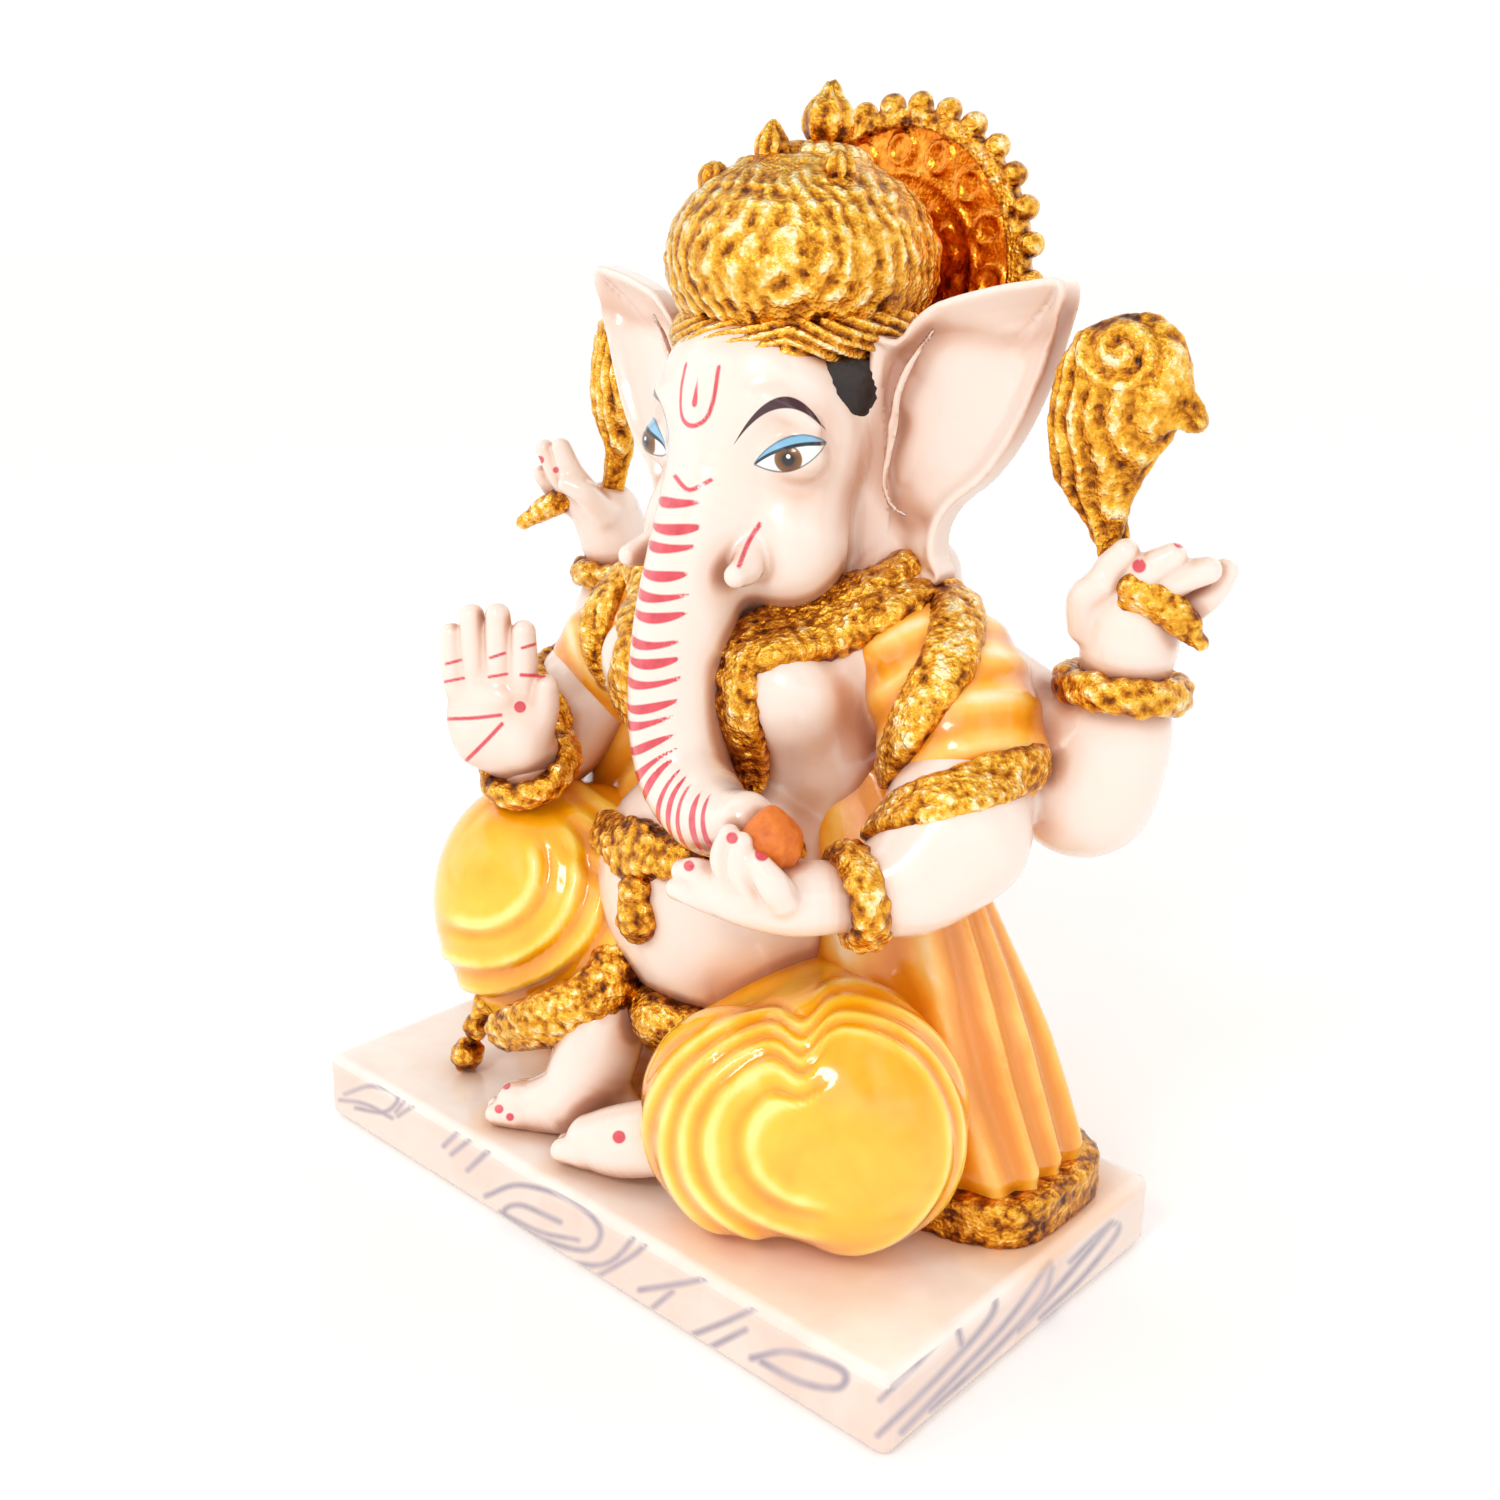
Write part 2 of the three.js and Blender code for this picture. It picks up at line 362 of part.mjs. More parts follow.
const PIECES = [
  ['base_slab', MARBLE, [(g) => slab(g)]],
  ['torso', SKIN, [
    E([0, 1, 62], [26, 21, 26]), E([0, 11, 97], [29, 17, 24]),
    E([15, -2, 104], [12.5, 9, 10]), E([-15, -2, 104], [12.5, 9, 10]),
    S([[-36, 18, 108, 9], [-20, 16, 112, 11], [20, 16, 112, 11], [36, 18, 108, 9]]),
    S(NECK_L), S(mir(NECK_L)),
    E([0, 14, 122], [14, 12, 10])]],
  ['head', SKIN, [
    E([0, 14, 149], [20.5, 18, 20]), E([0, 6, 156], [17, 11, 13]),
    E([0, 10, 139], [18, 12, 13]), E([11.5, 6, 129], [10, 10, 12]), E([-11.5, 6, 129], [10, 10, 12])]],
  ['trunk', SKIN, [S([[0, 8, 152, 12], [0, 1, 141, 10.4], [0, -5, 129, 9.2], [0, -9, 115, 9.2], [1, -11.5, 101, 9.2],
    [5, -14, 90.5, 8.6], [13, -17, 86, 7.6], [21, -20.5, 86.4, 6.2], [27.5, -22.6, 88.6, 5.2]], 1, null, 12, 2)]],
  ['tusk_left', SKIN, [S([[9, -1, 131, 3.4], [12, -6, 127, 3], [13, -10, 126, 2]])]],
  ['tusk_right', SKIN, [S(mir([[9, -1, 131, 3.4], [12, -6, 127, 3], [13, -10, 126, 2]]))]],
  ['hair_band', HAIR, [E([0, 18, 156.5], [22.6, 17.5, 15])]],
  ['ear_left', SKIN, [(g) => ear(1, g)]],
  ['ear_right', SKIN, [(g) => ear(-1, g)]],
  ['crown_band', GOLD, [E([0, 20, 166], [23.4, 22.4, 7.5], [8, 0, 0])]],
  ['crown_dome', GOLD, [E([0, 20.5, 177], [24.5, 24.5, 18.8])]],
  ['crown_tier', GOLD, [T([1, 24, 193.5], [0, 0.15, 1], 6.2, 2.9, 2.6), E([1, 24, 193], [7, 7, 4.5])]],
  ['crown_top_finial', GOLD, [E([1, 25.5, 200.5], [4.6, 4.6, 4.8]), E([1, 26, 204.5], [1.8, 1.8, 3])]],
  ['crown_front_finial', GOLD, [E([-1, 13, 195.5], [3, 3, 3.4]), E([-1, 13, 198.2], [1.3, 1.3, 2])]],
  ['crown_side_finial_left', GOLD, [E([13, 14, 192], [2.8, 2.8, 3])]],
  ['crown_side_finial_right', GOLD, [E([-11, 9, 190.5], [2.8, 2.8, 3])]],
  ['halo_field', GOLD, [(g) => haloField(g)]],
  ['halo_rim', GOLD, [(g) => haloRim(g)]],

  ['hand_left_front', SKIN, [S([[42, -17.5, 78, 5.6], [37, -22.5, 78, 6.4], [31, -27, 78.4, 5.6], [25.5, -27.8, 77.8, 4.2]]),
    S([[32, -29, 81, 2.6], [30.8, -30, 89, 2.1]]), S([[35, -29.5, 81, 2.6], [33.9, -30.5, 88.6, 2.1]]),
    S([[39.5, -28, 80.5, 2.8], [37.2, -30, 86, 2.3]]), S([[26, -28.5, 79, 2.7], [20, -29.6, 79.8, 2.2]])]],
  ['modak', SWEET, [E([35, -24.5, 88], [5.2, 5.2, 5.2])]],
  ['forearm_left_front', SKIN, [S([[52, 2, 86, 11.5], [50, -6, 80.5, 9.8], [44.5, -14.5, 78, 6.5]])]],
  ['bracelet_left_front', GOLD, [T([44.6, -14.2, 78], [-0.5, -0.85, -0.15], 7.0, 2.5, 3.4)]],
  ['upper_arm_left_front', SKIN, [S([[40, 16, 104, 12], [47, 10, 94, 12], [52, 3, 87, 11.5]])]],

  ['hand_right_front', SKIN, [S([[-39.5, -14.6, 85.5, 8], [-41, -17.6, 89, 9.8], [-42, -18.8, 92, 9.8]], 0.45, [0.45, -0.9, 0]),
    S([[-48.6, -21.8, 98, 2.9], [-49, -22.6, 106.5, 2.4]]), S([[-44.8, -20, 100, 2.9], [-45, -21, 110.5, 2.5]]),
    S([[-40.4, -18, 100, 2.9], [-40, -18.6, 111, 2.5]]), S([[-36, -16, 99, 2.8], [-35.6, -16.2, 108, 2.4]]),
    S([[-34.6, -14.8, 89, 3.3], [-32, -13.8, 97, 2.6]])]],
  ['forearm_right_front', SKIN, [S([[-49, 3, 84, 11], [-45.5, -5, 79.5, 9.6], [-40, -11.5, 80.5, 7.4]])]],
  ['bracelet_right_front', GOLD, [T([-39.3, -12.5, 81], [0.1, -0.6, 0.8], 8.2, 2.5, 3)]],
  ['upper_arm_right_front', SKIN, [S([[-35.5, 14.5, 104, 11], [-43, 10, 94, 11], [-48.5, 4, 85, 11]])]],

  ['hand_left_back', SKIN, [E([68, 26, 121.5], [8.3, 8.3, 9]), S([[66, 21.5, 126, 3.4], [68, 18.5, 132, 2.7], [71, 18, 135, 2.1]]),
    S([[71, 22, 127, 3.3], [76, 22.5, 132, 2.7], [80, 24, 133, 2.2]]), S([[74, 26, 124, 3.2], [79.5, 28, 128.5, 2.6], [82, 29, 132, 2.1]])]],
  ['attribute_left', GOLD, [S([[64.5, 21.5, 138.6, 2.4], [63, 20.5, 148, 7.4], [65.5, 21, 159, 10.3], [67, 22, 163, 7.5]], 0.5, [-0.3, 0.95, 0]),
    S([[69, 23, 158.5, 4], [77, 25, 155, 1.8]]), S([[66.5, 23, 129, 2.2], [64.5, 21.5, 139.5, 2.6]])]],
  ['attribute_left_handle', GOLD, [S([[72, 19.5, 129, 3.6], [78, 22.5, 124, 2.8], [81, 25, 120.5, 1.6]])]],
  ['forearm_left_back', SKIN, [S([[61, 28, 91, 11.5], [65, 28, 100, 10.5], [67, 27, 110.5, 7.8]])]],
  ['bracelet_left_back', GOLD, [T([67, 27, 110], [0, 0.1, 1], 9.3, 2.4, 3.2)]],
  ['upper_arm_left_back', SKIN, [S([[38, 22, 106, 11], [50, 27, 97, 12], [60, 28.5, 91, 11.5]])]],

  ['hand_right_back', SKIN, [E([-62, 31, 121], [7.8, 8, 9]), S([[-64.5, 26, 126, 3.3], [-68, 22.5, 132, 2.7], [-70.5, 20, 137.5, 2.1]]),
    S([[-61, 25, 127, 3.2], [-64, 21.5, 133, 2.6], [-66, 20.5, 138, 2.1]]), S([[-67, 28, 124, 3.2], [-71.5, 24, 127, 2.6]])]],
  ['attribute_right', GOLD, [S([[-58.5, 30.5, 138.6, 2.4], [-60, 30, 147, 6.6], [-58.5, 31.5, 159, 8.6], [-57, 32.5, 167, 5.4]], 0.55, [0.3, 0.95, 0]), S([[-60.5, 30, 128, 2.2], [-58.5, 30.5, 139, 2.6]])]],
  ['attribute_right_handle', GOLD, [S([[-67.5, 22.5, 127, 2.8], [-71, 19.5, 124.5, 2.6], [-74.5, 16.5, 121.5, 1.6]])]],
  ['forearm_right_back', SKIN, [S([[-60, 31, 92, 11.5], [-61, 32, 100, 10], [-60.5, 32.5, 110.5, 7.5]])]],
  ['bracelet_right_back', GOLD, [T([-60.5, 32.5, 110], [0, 0.1, 1], 8.8, 2.4, 3)]],
  ['upper_arm_right_back', SKIN, [S([[-38, 22, 106, 11], [-50, 27, 96, 12], [-59, 30.5, 92, 11.5]])]],

  ['foot_right', SKIN, [S([[-14, -15, 41, 7.8], [-12, -20, 32, 8.4], [-13, -24, 23.5, 7.6], [-20, -28, 19.6, 5.2], [-27, -31, 18.2, 3.8]])]],
  ['foot_left', SKIN, [S([[14, -26, 26, 7], [4, -29, 21.6, 6.8], [-3, -31, 19.2, 4.6]])]],
  ['leg_right', YELLOW, [E([-43, -9.5, 50], [20, 20.5, 25.5]), S([[-30, -9, 50, 16], [-17, -8.5, 50, 10.5]]), S([[-14, 8, 48, 20], [-36, -2, 54, 20]])]],
  ['leg_left', YELLOW, [E([45, -15, 37.6], [21.5, 19.8, 23.2]), E([29.5, -25.4, 34.8], [18.8, 15.2, 20.5]), S([[14, 4, 36, 19], [34, -6, 38, 19]])]],
  ['seat_dhoti', YELLOW, [E([0, 12, 33], [34, 24, 20]), S([[-28, 0.5, 21.5, 11.5], [28, 0.5, 21.5, 11.5]])]],
  ['ankle_hem_right', GOLD, [S([[-13, -13, 52, 4.4], [-10.5, -20, 44, 5.6], [-19, -27, 37.5, 5.6], [-30, -28, 31.5, 4.4]], 0.6, [0.4, -0.9, 0])]],
  ['tassel', GOLD, [E([-48, -24, 18.2], [3.6, 3.6, 3.6]), E([-46.5, -22.6, 24.5], [2.9, 2.9, 3.4]), S([[-45.5, -22, 27.5, 2.6], [-43, -19.5, 33, 4]])]],
  ['collar', GOLD, [S(COLLAR_L), S(mir(COLLAR_L)), S(COLLAR_LOW_L), S(mir(COLLAR_LOW_L)), S([[9.5, -6, 111.5, 3.8], [0, -8.5, 107.5, 3.8], [-9.5, -6, 111.5, 3.8]])]],
  ['necklace_drop_left', GOLD, [S(DROP_L)]],
  ['necklace_drop_right', GOLD, [S(mir(DROP_L))]],
  ['waist_chain', GOLD, [S([[-25.5, -3, 67, 2.8], [-17, -12.5, 72.8, 3.4], [-6, -17, 73.6, 4], [6, -17, 75, 3.8], [16, -13.5, 76.5, 3.4], [24, -5, 79, 3.2]], 1, null, 8, 2), E([-4, -17.2, 73.5], [6.5, 4.2, 6])]],
  ['waist_pendant', GOLD, [E([-1.6, -19.6, 67], [3.8, 3.4, 3.6]), E([-0.8, -19.8, 61.8], [4.4, 4, 4.8])]],
  ['belt_buckle', GOLD, [S([[-6, -13, 42, 3.8], [1, -16.2, 40.5, 5], [8, -14.6, 41.2, 4]])]],
  ['shawl_left', ORANGE, [S([[26, 18, 113, 11], [38, 17, 107, 14], [46, 13, 97, 14.6]])]],
  ['shawl_left_lapel', GOLD, [S([[39.5, -1, 95, 2.2], [42.8, -0.4, 102.2, 3.4], [44.6, 2.3, 108.1, 3.9], [45.4, 6.9, 113.4, 4.2], [42.8, 13, 117.8, 4.3], [37.4, 19.6, 120.6, 4.2]])]],
  ['shawl_left_border', GOLD, [S([[42, -7.3, 88.5, 2.8], [46.5, -7, 91, 3.4], [50.5, -6.6, 93.3, 3.6], [54.6, -4.2, 95.2, 3.8], [57.6, -0.4, 96.7, 3.8], [59.2, 5.6, 97.6, 3.6], [59.6, 12, 98, 3.4]])]],
  ['shawl_right', ORANGE, [S([[-26, 18, 113, 10.4], [-34, 16.5, 106, 12.6], [-41, 12.5, 97, 13]])]],
  ['shawl_right_lapel', GOLD, [S([[-33, 3.2, 97, 2.2], [-35.2, 2.2, 103, 2.9], [-36.4, 3.2, 108.5, 3.3], [-36.4, 6.4, 113, 3.5], [-34.2, 11.4, 116.8, 3.5], [-30, 18, 119.4, 3.4]])]],
  ['shawl_right_border', GOLD, [S([[-37.5, -5.6, 88.6, 2.6], [-41.4, -5.4, 90.8, 3], [-45.6, -4.8, 92.6, 3.2], [-49.6, -2.4, 94.2, 3.2], [-52.8, 1.4, 95.2, 3.2], [-54.4, 6.4, 96, 3], [-54.6, 12, 96.6, 2.8]])]],
  ['cloak', ORANGE, [(g) => drape([[0, SLAB_H + GAP - g], [0.985, SLAB_H + GAP - g], [0.96, 24], [0.84, 44], [0.6, 76], [0.42, 91], [0, 94]], g, 28)]],
  ['cloak_hem', GOLD, [(g) => drape([[0, SLAB_H + GAP - g], [1.004, SLAB_H + GAP - g], [1.0, SLAB_H + HEM_H * 0.5], [0.985, SLAB_H + HEM_H], [0, SLAB_H + HEM_H + 0.01]], g, 28)]],
];

// ---------------------------------------------------------------- assembly
function build(makers, g) {
  let s = makers[0](g);
  for (let i = 1; i < makers.length; i++) s = s.add(makers[i](g));
  return s;
}

function bounds(man) {
  const m = man.getMesh(), n = m.numProp, lo = [1e9, 1e9, 1e9], hi = [-1e9, -1e9, -1e9];
  for (let i = 0; i < m.vertProperties.length; i += n) {
    for (let k = 0; k < 3; k++) {
      lo[k] = Math.min(lo[k], m.vertProperties[i + k]);
      hi[k] = Math.max(hi[k], m.vertProperties[i + k]);
    }
  }
  return [lo, hi];
}

const group = new THREE.Group();
const done = [];
for (const [name, look, makers] of PIECES) {
  let s = build(makers, 0);
  const b = bounds(s);
  for (const d of done) {
    const apart = [0, 1, 2].some((k) => d.box[0][k] > b[1][k] || d.box[1][k] < b[0][k]);
    if (!apart) s = s.subtract(d.grown);
  }
  const shell = thin(largestShell(s), THIN_TOL);
  const geometry = new THREE.BufferGeometry();
  geometry.setAttribute('position', new THREE.Float32BufferAttribute(shell.pos, 3));
  geometry.setIndex(shell.tri);
  geometry.computeVertexNormals();
  const mesh = new THREE.Mesh(geometry, new THREE.MeshStandardMaterial(look));
  mesh.name = name;
  group.add(mesh);
  const grown = build(makers, GAP);
  done.push({ name, grown, box: bounds(grown) });
}

export default group;
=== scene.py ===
# Visual model of a seated four-armed Ganesha figurine on a painted marble slab.
# Everything is sculpted from implicit forms in millimetres and placed in metres in the CAD frame.
import bpy, math, time
import numpy as np
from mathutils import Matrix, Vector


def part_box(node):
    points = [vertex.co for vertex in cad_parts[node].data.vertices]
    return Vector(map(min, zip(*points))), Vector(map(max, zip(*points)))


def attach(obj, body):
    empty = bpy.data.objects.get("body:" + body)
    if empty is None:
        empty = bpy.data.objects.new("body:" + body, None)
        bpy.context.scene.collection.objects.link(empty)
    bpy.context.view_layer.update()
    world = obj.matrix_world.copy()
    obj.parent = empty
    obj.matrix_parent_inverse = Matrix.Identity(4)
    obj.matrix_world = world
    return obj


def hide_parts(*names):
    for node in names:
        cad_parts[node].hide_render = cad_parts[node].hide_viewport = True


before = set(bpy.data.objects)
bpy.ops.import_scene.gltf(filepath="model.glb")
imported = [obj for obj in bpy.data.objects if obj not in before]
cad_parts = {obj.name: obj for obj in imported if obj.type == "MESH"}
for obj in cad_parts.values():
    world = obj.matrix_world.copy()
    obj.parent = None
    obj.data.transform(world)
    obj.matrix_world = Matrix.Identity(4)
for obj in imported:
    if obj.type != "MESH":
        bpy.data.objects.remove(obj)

T0 = time.time()
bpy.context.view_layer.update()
RES = 1.2
F = np.float32
rng = np.random.RandomState(7)

# ------------------------------------------------------------------ implicit forms
def vec(*a): return np.array(a, F)

def rotm(rx, ry, rz):
    rx, ry, rz = np.radians([rx, ry, rz])
    cx, sx, cy, sy, cz, sz = np.cos(rx), np.sin(rx), np.cos(ry), np.sin(ry), np.cos(rz), np.sin(rz)
    X = np.array([[1, 0, 0], [0, cx, -sx], [0, sx, cx]])
    Y = np.array([[cy, 0, sy], [0, 1, 0], [-sy, 0, cy]])
    Z = np.array([[cz, -sz, 0], [sz, cz, 0], [0, 0, 1]])
    return (Z @ Y @ X).astype(F)

def smin(a, b, k):
    if k <= 0: return np.minimum(a, b)
    h = np.clip(0.5 + 0.5 * (b - a) / k, 0, 1)
    return b + (a - b) * h - k * h * (1 - h)

def smax(a, b, k): return -smin(-a, -b, k)
def sstep(a, b, x):
    t = np.clip((x - a) / (b - a), 0, 1)
    return t * t * (3 - 2 * t)

def catmull(P, n):
    P = np.asarray(P, float); m = len(P)
    if m == 2:
        t = np.linspace(0, 1, n + 1)[:, None]
        return P[0] * (1 - t) + P[1] * t
    Q = np.vstack([2 * P[0] - P[1], P, 2 * P[-1] - P[-2]])
    out = []
    for i in range(m - 1):
        p0, p1, p2, p3 = Q[i:i + 4]
        t = np.linspace(0, 1, n, endpoint=False)[:, None]
        out.append(0.5 * ((2 * p1) + (-p0 + p2) * t + (2 * p0 - 5 * p1 + 4 * p2 - p3) * t ** 2 + (-p0 + 3 * p1 - 3 * p2 + p3) * t ** 3))
    out.append(P[-1][None])
    return np.vstack(out)

class Ell:
    def __init__(s, c, r, rot=(0, 0, 0), k=None):
        s.c = vec(*c); s.r = vec(*r); s.R = rotm(*rot); s.k = k; m = float(max(r)); s.lo = s.c - m; s.hi = s.c + m
    def __call__(s, p):
        q = (p - s.c) @ s.R
        k0 = np.sqrt(((q / s.r) ** 2).sum(1)); k1 = np.sqrt(((q / (s.r * s.r)) ** 2).sum(1)) + 1e-9
        return (k0 * (k0 - 1) / k1).astype(F)

class Sw:
    def __init__(s, P, n=6, flat=1.0, nrm=None, k=None):
        C = catmull(np.asarray(P, float), n)
        s.C = C[:, :3].astype(F); s.r = np.maximum(C[:, 3], 0.05).astype(F); s.flat = flat; s.k = k
        s.n = None if nrm is None else (np.asarray(nrm, float) / np.linalg.norm(nrm)).astype(F)
        R = s.r.max() * max(1, flat); s.lo = s.C.min(0) - R; s.hi = s.C.max(0) + R
    def full(s, p):
        best = None; bt = None
        for i in range(len(s.C) - 1):
            a, b = s.C[i], s.C[i + 1]; ab = b - a; L = float(ab @ ab) + 1e-9
            t = np.clip(((p - a) @ ab) / L, 0, 1)
            q = p - a - t[:, None] * ab
            if s.n is None:
                d = np.sqrt((q * q).sum(1)) - (s.r[i] * (1 - t) + s.r[i + 1] * t)
            else:
                qn = q @ s.n; rest = np.maximum((q * q).sum(1) - qn * qn, 0)
                d = (np.sqrt(rest + (qn / s.flat) ** 2) - (s.r[i] * (1 - t) + s.r[i + 1] * t)) * min(s.flat, 1)
            if best is None: best = d; bt = i + t
            else:
                m = d < best; best = np.where(m, d, best); bt = np.where(m, i + t, bt)
        return best.astype(F), bt
    def __call__(s, p): return s.full(p)[0]

class Box:
    def __init__(s, c, h, rr, k=None, rot=(0, 0, 0)):
        s.c = vec(*c); s.h = vec(*h); s.rr = rr; s.R = rotm(*rot); m = float(np.linalg.norm(h)); s.lo = s.c - m; s.hi = s.c + m; s.k = k
    def __call__(s, p):
        q = np.abs((p - s.c) @ s.R) - (s.h - s.rr)
        return (np.sqrt((np.maximum(q, 0) ** 2).sum(1)) + np.minimum(q.max(1), 0) - s.rr).astype(F)

class Tor:
    def __init__(s, c, ax, R, r, h=None, k=None):
        s.c = vec(*c); ax = np.asarray(ax, float); s.ax = (ax / np.linalg.norm(ax)).astype(F); s.Rr = R; s.r = r; s.h = h or r; s.k = k
        m = R + max(r, s.h); s.lo = s.c - m; s.hi = s.c + m
        u = np.cross(s.ax, [0, 0, 1.0]); u = u if np.linalg.norm(u) > 0.3 else np.cross(s.ax, [0, 1.0, 0]); s.u = (u / np.linalg.norm(u)).astype(F); s.v = np.cross(s.ax, s.u).astype(F)
    def __call__(s, p):
        q = p - s.c; z = q @ s.ax; rad = np.sqrt(np.maximum((q * q).sum(1) - z * z, 0))
        return ((np.sqrt(((rad - s.Rr) / s.r) ** 2 + (z / s.h) ** 2) - 1) * min(s.r, s.h)).astype(F)
    def ang(s, p):
        q = p - s.c
        return np.arctan2(q @ s.v, q @ s.u)

class Fn:
    def __init__(s, f, lo, hi, k=None): s.f = f; s.lo = np.array(lo, F); s.hi = np.array(hi, F); s.k = k
    def __call__(s, p): return s.f(p).astype(F)

FAR = 30.0
def union(prims, k=2.0):
    """smooth union; each form is evaluated only near itself"""
    def f(p):
        d = np.full(len(p), FAR, F)
        for q in prims:
            kk = k if q.k is None else q.k
            m = kk + 9.0
            ix = np.nonzero(((p > q.lo - m) & (p < q.hi + m)).all(1))[0]
            if not len(ix): continue
            d[ix] = smin(d[ix], q(p[ix]), kk)
        return d
    f.lo = np.min([q.lo for q in prims], 0); f.hi = np.max([q.hi for q in prims], 0); f.k = None
    return f

def chunk(f, P, n=300000):
    P = np.asarray(P, F)
    if len(P) <= n: return f(P)
    return np.concatenate([f(P[i:i + n]) for i in range(0, len(P), n)])

def polygonise(f, lo, hi, h, block=8, newton=2):
    lo = np.asarray(lo, float) - 1.5 * h; hi = np.asarray(hi, float) + 1.5 * h
    nb = np.maximum(1, np.ceil((hi - lo) / (h * block)).astype(int)); B = h * block
    ax = [lo[i] + (np.arange(nb[i]) + 0.5) * B for i in range(3)]
    g = np.stack(np.meshgrid(*ax, indexing='ij'), -1).reshape(-1, 3).astype(F)
    act = np.abs(chunk(f, g)) < B * 0.95 + h
    n = nb * block + 1
    V = np.full(int(np.prod(n)), np.nan, F)
    idx = np.argwhere(act.reshape(nb))
    r = np.arange(block + 1); off = np.stack(np.meshgrid(r, r, r, indexing='ij'), -1).reshape(-1, 3)
    allv = (idx[:, None, :] * block + off[None]).reshape(-1, 3)
    uf = np.unique(np.ravel_multi_index(allv.T, tuple(n)))
    ijk = np.stack(np.unravel_index(uf, tuple(n)), 1)
    V[uf] = chunk(f, lo + ijk * h)
    c = np.arange(block); coff = np.stack(np.meshgrid(c, c, c, indexing='ij'), -1).reshape(-1, 3)
    cells = (idx[:, None, :] * block + coff[None]).reshape(-1, 3)
    corner = np.array([[i, j, k] for i in (0, 1) for j in (0, 1) for k in (0, 1)])
    st = np.array([n[1] * n[2], n[2], 1]); base = cells @ st
    cv = np.stack([V[base + corner[m] @ st] for m in range(8)], 1)
    cnt = (cv < 0).sum(1); m = (cnt > 0) & (cnt < 8)
    cells = cells[m]; cv = cv[m]; base = base[m]
    acc = np.zeros((len(cells), 3)); num = np.zeros(len(cells))
    for a, b in [(0, 1), (2, 3), (4, 5), (6, 7), (0, 2), (1, 3), (4, 6), (5, 7), (0, 4), (1, 5), (2, 6), (3, 7)]:
        va, vb = cv[:, a], cv[:, b]; x = (va < 0) != (vb < 0)
        t = np.where(x, va / (va - vb + 1e-20), 0)
        acc += (corner[a] + (corner[b] - corner[a]) * t[:, None]) * x[:, None]; num += x
    verts = lo + (cells + acc / num[:, None]) * h
    o = np.argsort(base); sb = base[o]
    def key(q):
        j = np.searchsorted(sb, q); j = np.minimum(j, len(sb) - 1)
        return np.where(sb[j] == q, o[j], -1)
    quads = []
    for axis in range(3):
        e = st[axis]; u = st[(axis + 1) % 3]; v = st[(axis + 2) % 3]
        va = V[base]; vb = V[base + e]; x = (va < 0) != (vb < 0)
        q = base[x]; s = va[x] < 0
        Q = np.stack([key(q), key(q - u), key(q - u - v), key(q - v)], 1); ok = (Q >= 0).all(1)
        Q = Q[ok]; s = s[ok]; Q[~s] = Q[~s][:, ::-1]; quads.append(Q)
    quads = np.vstack(quads)
    for _ in range(newton):
        d0 = chunk(f, verts); gr = grad(f, verts, h * 0.5); gg = (gr * gr).sum(1) + 1e-6
        verts = verts - gr * np.clip(d0 / gg, -h * 0.7, h * 0.7)[:, None]
    return verts, quads

def grad(f, P, e):
    g = np.empty((len(P), 3))
    for i in range(3):
        o = np.zeros(3, F); o[i] = e
        g[:, i] = (chunk(f, P + o) - chunk(f, P - o)) / (2 * e)
    return g

def vnormals(v, q):
    n = np.zeros_like(v); a, b, c, d = [v[q[:, i]] for i in range(4)]
    fn = np.cross(c - a, d - b)
    for i in range(4):
        for k in range(3): n[:, k] += np.bincount(q[:, i], fn[:, k], len(v))
    return n / (np.linalg.norm(n, axis=1, keepdims=True) + 1e-12)

# ------------------------------------------------------------------ noise
def _hash(i, j, k, s=0):
    x = (i.astype(np.int64) * 73856093) ^ (j.astype(np.int64) * 19349663) ^ (k.astype(np.int64) * 83492791) ^ (s * 2654435761)
    x = x & 0xffffffff
    x = ((x ^ (x >> 15)) * 2246822519) & 0xffffffff
    x = ((x ^ (x >> 13)) * 3266489917) & 0xffffffff
    return ((x ^ (x >> 16)) & 0xffffff).astype(F) / F(0xffffff)

def vnoise(P, size, seed=0):
    q = np.asarray(P, F) / size; i = np.floor(q).astype(np.int64); f = q - i; f = f * f * (3 - 2 * f)
    r = 0
    for a in (0, 1):
        for b in (0, 1):
            for c in (0, 1):
                w = (f[:, 0] if a else 1 - f[:, 0]) * (f[:, 1] if b else 1 - f[:, 1]) * (f[:, 2] if c else 1 - f[:, 2])
                r = r + w * _hash(i[:, 0] + a, i[:, 1] + b, i[:, 2] + c, seed)
    return r * 2 - 1

def fbm(P, size, octaves=3, seed=0):
    r = 0; a = 1.0; t = 0
    for o in range(octaves):
        r = r + a * vnoise(P, size / 2 ** o, seed + o); t += a; a *= 0.5
    return r / t

def worley(P, size, seed=0):
    q = np.asarray(P, F) / size; i = np.floor(q).astype(np.int64); best = np.full(len(q), 9.0, F)
    for a in (-1, 0, 1):
        for b in (-1, 0, 1):
            for c in (-1, 0, 1):
                I, J, K = i[:, 0] + a, i[:, 1] + b, i[:, 2] + c
                dx = I + _hash(I, J, K, seed) - q[:, 0]; dy = J + _hash(I, J, K, seed + 1) - q[:, 1]; dz = K + _hash(I, J, K, seed + 2) - q[:, 2]
                best = np.minimum(best, dx * dx + dy * dy + dz * dz)
    return np.sqrt(best)

# ------------------------------------------------------------------ the figure's forms, in mm
SLAB_H = 14.3
mir = lambda pts: [[-q[0]] + list(q[1:]) for q in pts]

